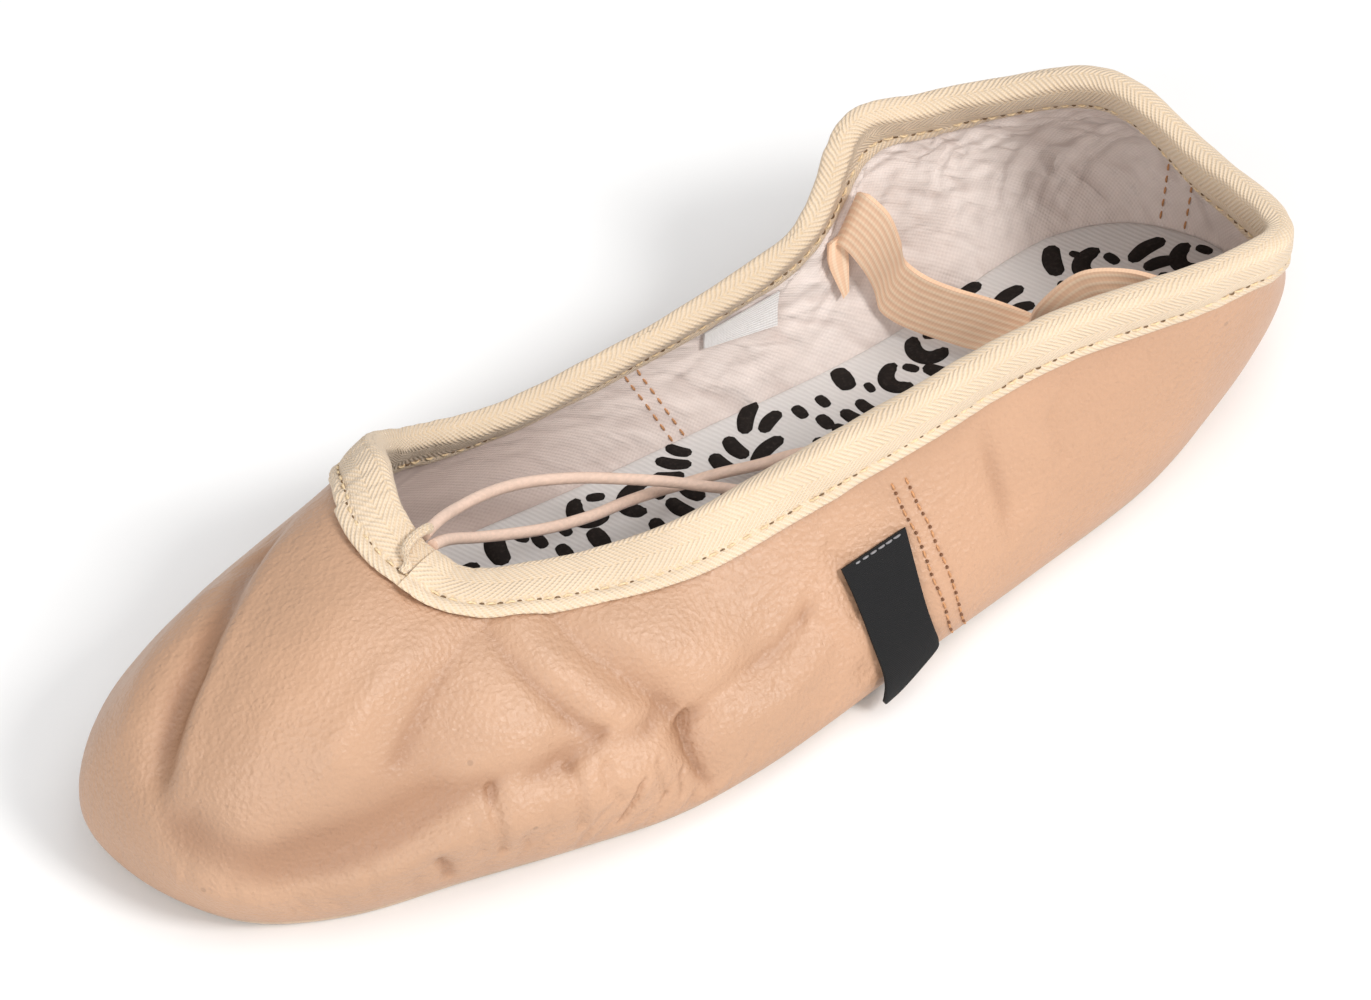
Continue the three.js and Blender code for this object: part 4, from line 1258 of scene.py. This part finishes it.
def pad_piece(name, look, outline, levels, node):
    """A flat pad for a node: rings at a share of the way in to the middle line, and a height.

    A height of None is that of the insole's face.
    """
    spine = middle_line(outline)
    rings = []
    for inwards, level in levels:
        ring = outline * (1 - inwards) + spine * inwards
        ring[:, 2] = ground(ring[:, 0]) + (insole_top(ring) if level is None else level)
        rings.append(ring)
    grid = np.stack(rings, 1)
    columns, rows = grid.shape[:2]
    faces, _ = grid_faces(columns, rows, True, False)
    faces = [list(f) for f in faces[:, ::-1]]
    faces.append([i * rows for i in range(columns)][::-1])
    faces.append([i * rows + rows - 1 for i in range(columns)])
    vertices = grid.reshape(-1, 3)
    weave = np.concatenate([vertices[np.array(f), :2] for f in faces])
    piece = add_piece(name, look, vertices, faces, weave)
    face_outwards(piece)
    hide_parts(node)


def face_outwards(piece):
    """Turns a closed piece's faces outwards."""
    shape = bmesh.new()
    shape.from_mesh(piece.data)
    bmesh.ops.recalc_face_normals(shape, faces=shape.faces)
    shape.to_mesh(piece.data)
    shape.free()


def insole_top(points):
    """Height of the insole's face over the sole: nearly level, with slight waves."""
    return INSOLE_TOP + 0.18 * lumps(points[..., 0] / 17 + 5, points[..., 1] / 13 + 5, 31)


def arc(radius_x, radius_y, start, stop):
    """Points of an arc round the middle of a mark, between two angles in degrees."""
    turn = np.radians(np.linspace(start, stop, 18))
    return np.column_stack([radius_x * np.cos(turn), radius_y * np.sin(turn)])


def dot(x, y, size):
    """A round dab of the brush."""
    return np.array([(x - size * 0.32, y - 0.1), (x, y), (x + size * 0.32, y + 0.1)]), size


def bar(x, y, length, lean, width):
    """A short, slightly bent stroke of the brush."""
    way = np.array([math.cos(math.radians(lean)), math.sin(math.radians(lean))])
    side = np.array([-way[1], way[0]]) * length * 0.08
    middle = np.array([x, y])
    return np.array([middle - way * length / 2, middle + side, middle + way * length / 2]), width


# Generic brush marks printed on the insole: each stroke has points and a width, in millimetres.
MARKS = [
    [bar(-1.6, 0, 4.6, 78, 2.0), bar(1.5, 0.2, 4.6, 72, 2.0)],
    [dot(0, 0.6, 4.2), dot(2.6, -2.4, 1.9)],
    [bar(0, 1.5, 6.0, 12, 2.2), bar(0.2, -1.6, 4.4, -8, 2.0)],
    [dot(-1.8, 1.5, 2.6), dot(1.7, 1.6, 2.4), dot(0.1, -1.9, 2.9)],
    [bar(0, 0, 6.2, 48, 2.7), dot(2.6, -1.7, 1.9)],
    [(arc(2.6, 2.2, 60, 250), 2.3), dot(1.6, -0.3, 2.3)],
    [bar(-2.2, 0.3, 4.2, 96, 1.7), bar(0.2, 0.1, 5.0, 84, 1.8), bar(2.4, -0.2, 3.8, 74, 1.6)],
]


# Distance between rows of marks and between marks in a row, and from a mark to the insole's edge.
PRINT_ROWS, PRINT_PITCH = 8.0, 8.3
PRINT_MARGIN = 3.2


def stroke_edges(line, width):
    """The two edges of a brush stroke with round ends and a slightly swelling width."""
    dense = smooth_line(np.column_stack([line, np.zeros(len(line))]), 26)
    way = unit(np.gradient(dense, axis=0) + [1e-9, 0, 0])
    side = np.column_stack([-way[:, 1], way[:, 0], np.zeros(len(dense))])
    share = np.linspace(0, 1, len(dense))
    swell = 0.78 + 0.3 * np.sin(np.pi * share)
    ends = np.clip(np.sin(np.pi * np.clip(share, 0.02, 0.98)) * 3.2, 0, 1) ** 0.5
    half = (width / 2 * swell * ends)[:, None]
    return dense + side * half, dense - side * half


class SLIPPER_OT_insole(bpy.types.Operator):
    """Builds the printed insole"""

    bl_idname = "slipper.insole"
    bl_label = "Insole"

    def execute(self, context):
        outline = lined_outline(INSOLE_TOP - 0.5)
        low = INSOLE_TOP - 1.4
        levels = [(0.98, low), (0.60, low), (0.0, INSOLE_TOP - 1.1), (0.0, INSOLE_TOP - 0.3)]
        shares = (0.012, 0.04, 0.1, 0.18, 0.27, 0.36, 0.46, 0.56, 0.66, 0.76, 0.86, 0.93, 0.98)
        levels += [(share, None) for share in shares]
        pad_piece("insole_twill", twill_look(), outline, levels, "insole")
        draw = np.random.default_rng(5)
        parts = []
        for row, along in enumerate(np.arange(-96, 110, PRINT_ROWS)):
            for across in np.arange(-44, 46, PRINT_PITCH):
                x = along + across * 0.3 + draw.uniform(-0.4, 0.4)
                y = across + (PRINT_PITCH / 2 if row % 2 else 0.0) + draw.uniform(-0.4, 0.4)
                mark = MARKS[int(draw.integers(len(MARKS)))]
                turn = math.radians(draw.uniform(-35, 35) + 25)
                spin = np.array([[math.cos(turn), -math.sin(turn)], [math.sin(turn), math.cos(turn)]])
                size = draw.uniform(1.12, 1.30)
                if not inside_outline(outline, x, y, PRINT_MARGIN):
                    continue
                for line, width in mark:
                    edges = stroke_edges(line * size, width * size)
                    parts.append(print_solid(*(edge[:, :2] @ spin.T + [x, y] for edge in edges)))
        joined_piece("insole_print", print_look(), parts)
        return {"FINISHED"}


def inside_outline(outline, x, y, margin):
    """Whether a point lies inside the outline by a margin."""
    a, b = outline[:, :2], np.roll(outline[:, :2], -1, axis=0)
    cross = (a[:, 1] > y) != (b[:, 1] > y)
    with np.errstate(divide="ignore", invalid="ignore"):
        at = a[:, 0] + (y - a[:, 1]) * (b[:, 0] - a[:, 0]) / (b[:, 1] - a[:, 1])
    inside = (cross & (x < at)).sum() % 2 == 1
    return inside and np.hypot(a[:, 0] - x, a[:, 1] - y).min() > margin


def print_solid(left, right):
    """A thin closed layer between two edge lines, lying on the insole."""
    count = len(left)
    middle = (left + right) / 2

    def lifted(points, up):
        flat = np.column_stack([points, np.zeros(count)])
        flat[:, 2] = ground(flat[:, 0]) + insole_top(flat) + up
        return flat

    grid = np.stack([lifted(left, -0.05), lifted(left, 0.05), lifted(middle, 0.08), lifted(right, 0.05),
                     lifted(right, -0.05), lifted(middle, -0.05)], 1)
    faces, _ = grid_faces(count, 6, False, True)
    caps = np.array([[0, 1, 2, 5], [5, 2, 3, 4]])
    faces = np.vstack([faces, caps, caps[:, ::-1] + (count - 1) * 6])
    vertices = grid.reshape(-1, 3)
    if signed_volume(vertices, faces) < 0:
        faces = faces[:, ::-1]
    return vertices, faces


class SLIPPER_OT_outsole(bpy.types.Operator):
    """Builds the suede outsole with its sewn groove"""

    bl_idname = "slipper.outsole"
    bl_label = "Outsole"

    def execute(self, context):
        foot = ribs(np.arange(420) / 420)[0]
        edge = foot - outwards(foot) * 1.0
        levels = [
            (0.98, OUTSOLE), (0.86, OUTSOLE), (0.45, OUTSOLE), (0.1, OUTSOLE), (0.012, OUTSOLE - 0.02),
            (0.0, OUTSOLE - 0.4), (0.0, 0.75), (0.012, 0.25), (0.035, 0.02), (0.075, 0.0), (0.095, 0.0),
            (0.105, 0.28), (0.115, 0.28), (0.125, 0.0)]
        levels += [(share, 0.0) for share in (0.16, 0.3, 0.45, 0.6, 0.75, 0.86, 0.93, 0.98)]
        pad_piece("suede_sole", suede_look(), edge, levels, "outsole")
        # The stitches lie in the groove, clear of the floor.
        row = edge * 0.89 + middle_line(edge) * 0.11
        row[:, 2] = ground(row[:, 0]) + 0.52
        row = np.vstack([row, row[:1]])
        down = np.tile([0.0, 0.0, -1.0], (len(row), 1))
        look = thread_look("sole thread", colour(214, 180, 142))
        joined_piece("sole_stitches", look, [thread_run(row, down, 3.1, 2.3, 0.26, dip=0.25)])
        return {"FINISHED"}


def surface_row(path, height, count=240):
    """A line on the upper through places and shares, and the directions off it."""
    line = smooth_line([(s * 100, t * 100, 0) for s, t in path], count) / 100
    way = 1 if height >= 0 else -1
    if way > 0:
        relief = fine_relief(line[:, 0], line[:, 1])
    else:
        relief = hollow_relief(line[:, 0], line[:, 1]) - lining_height(line[:, 0], line[:, 1])
    base = skin(line[:, 0], line[:, 1], height + relief)
    return base, normals(line[:, 0], line[:, 1]) * way


class SLIPPER_OT_seams(bpy.types.Operator):
    """Sews the seams of the upper and the lining"""

    bl_idname = "slipper.seams"
    bl_label = "Seams"

    def execute(self, context):
        tan = thread_look("seam thread", colour(206, 150, 104))
        # Short dark pieces at the needle holes between the stitches: painted shadow in the holes.
        dark = thread_look("seam hole shadows", colour(124, 84, 58))
        threads, hole_shadows = [], []
        far_left = [(s - 0.0014, t) for s, t in FAR_SEAM]
        far_right = [(s + 0.0014, t) for s, t in FAR_SEAM]
        lining = -LEATHER - 0.15
        for path in (SEAM_LEFT, SEAM_RIGHT, far_left, far_right):
            base, off = surface_row(path, 0.05)
            threads.append(thread_run(base, off, 2.4, 1.6, 0.20, dip=0.4))
            hole_shadows.append(thread_run(base, off, 2.4, 0.7, 0.25, dip=0.3, first=0.5 + 1.65))
        inner_rows = [[(s, t) for s, t in path if t < 0.62] for path in (far_left, far_right)]
        inner_rows += HEEL_SEAMS
        for path in inner_rows:
            base, off = surface_row(path, lining)
            threads.append(thread_run(base, off, 2.3, 1.7, 0.20, dip=0.3))
        joined_piece("seam_stitches", tan, threads)
        joined_piece("seam_needle_hole_shadows", dark, hole_shadows)
        return {"FINISHED"}


# Edges of the side label: place round the shoe, share of the rib and height off the leather.
LABEL_RIGHT = [
    (0.3105, 0.65, 1.05), (0.3175, 0.52, 1.05), (0.3235, 0.40, 1.05), (0.3300, 0.26, 1.05),
    (0.3335, 0.17, 1.05), (0.3335, 0.125, 1.3), (0.3290, 0.10, 1.8), (0.3245, 0.08, 2.2), (0.3215, 0.06, 2.4)]
LABEL_LEFT = [
    (0.2830, 0.66, 1.05), (0.2915, 0.56, 1.05), (0.3000, 0.45, 1.05), (0.3085, 0.32, 1.2),
    (0.3130, 0.23, 1.6), (0.3148, 0.17, 2.0), (0.3155, 0.12, 2.3), (0.3160, 0.08, 2.5), (0.3170, 0.05, 2.6)]
# Edges of the care label, in the same columns, on the lining.
CARE_RIGHT = [(0.689, 0.43, -2.70), (0.690, 0.25, -2.70)]
CARE_LEFT = [(0.709, 0.43, -2.70), (0.709, 0.32, -2.70)]


def along_skin(path, count):
    """A smooth line over the upper through places, shares and heights."""
    line = smooth_line([(s * 100, t * 100, h) for s, t, h in path], count)
    return skin(line[:, 0] / 100, line[:, 1] / 100, line[:, 2])


class SLIPPER_OT_labels(bpy.types.Operator):
    """Builds the bare side label and care label"""

    bl_idname = "slipper.labels"
    bl_label = "Labels"

    def execute(self, context):
        front, back = along_skin(LABEL_RIGHT, 65), along_skin(LABEL_LEFT, 65)
        black = woven_look("black label weave", colour(13, 13, 14))
        band("side_label_woven", black, front, back, "woven_black",
             lambda share: 0.26 + 0.12 * np.clip(np.sin(np.pi * share) * 4, 0, 1), across=24, sharp=50,
             replaces=["side_label"])
        front, back = along_skin(CARE_RIGHT, 25), along_skin(CARE_LEFT, 25)
        white = woven_look("white label weave", colour(206, 202, 200), 0.35, 0.75)
        band("care_label_woven", white, front, back, "woven_white", 0.2, across=12, sharp=50,
             replaces=["care_label"])
        # A row of stitches along the side label's top edge.
        top = [(0.3105 - 0.0275 * k, 0.641 + 0.010 * k) for k in (0.03, 0.5, 0.97)]
        base, off = surface_row(top, 1.48, 60)
        grey = thread_look("label thread", colour(142, 140, 142))
        joined_piece("label_stitches", grey, [thread_run(base, off, 1.5, 1.4, 0.21, dip=0.12)])
        return {"FINISHED"}


class SLIPPER_PT_panel(bpy.types.Panel):
    """The slipper's settings and pieces"""

    bl_idname = "SLIPPER_PT_panel"
    bl_label = "Slipper"
    bl_space_type = "VIEW_3D"
    bl_region_type = "UI"
    bl_category = "Slipper"

    def draw(self, context):
        settings = context.scene.slipper
        for group in (settings.leather, settings.tape, settings.strap, settings.cord):
            box = self.layout.box()
            for name in group.__annotations__:
                box.prop(group, name)
        for operator in OPERATORS:
            self.layout.operator(operator.bl_idname)


OPERATORS = (
    SLIPPER_OT_stage, SLIPPER_OT_drawstring, SLIPPER_OT_upper, SLIPPER_OT_lining, SLIPPER_OT_collar,
    SLIPPER_OT_throat_tab, SLIPPER_OT_strap, SLIPPER_OT_insole, SLIPPER_OT_outsole, SLIPPER_OT_seams,
    SLIPPER_OT_labels,
)
SETTINGS = (LeatherSettings, TapeSettings, StrapSettings, CordSettings, SlipperSettings)
CLASSES = (*SETTINGS, *OPERATORS, SLIPPER_PT_panel)


def register():
    """Registers the classes and hangs the settings on the scene."""
    for item in CLASSES:
        bpy.utils.register_class(item)
    bpy.types.Scene.slipper = PointerProperty(type=SlipperSettings)


def unregister():
    """Takes the settings and classes away again."""
    del bpy.types.Scene.slipper
    for item in reversed(CLASSES):
        bpy.utils.unregister_class(item)


def main():
    """Builds every piece in order."""
    register()
    for operator in OPERATORS:
        group, name = operator.bl_idname.split(".")
        getattr(getattr(bpy.ops, group), name)()


if __name__ == "__main__":
    main()
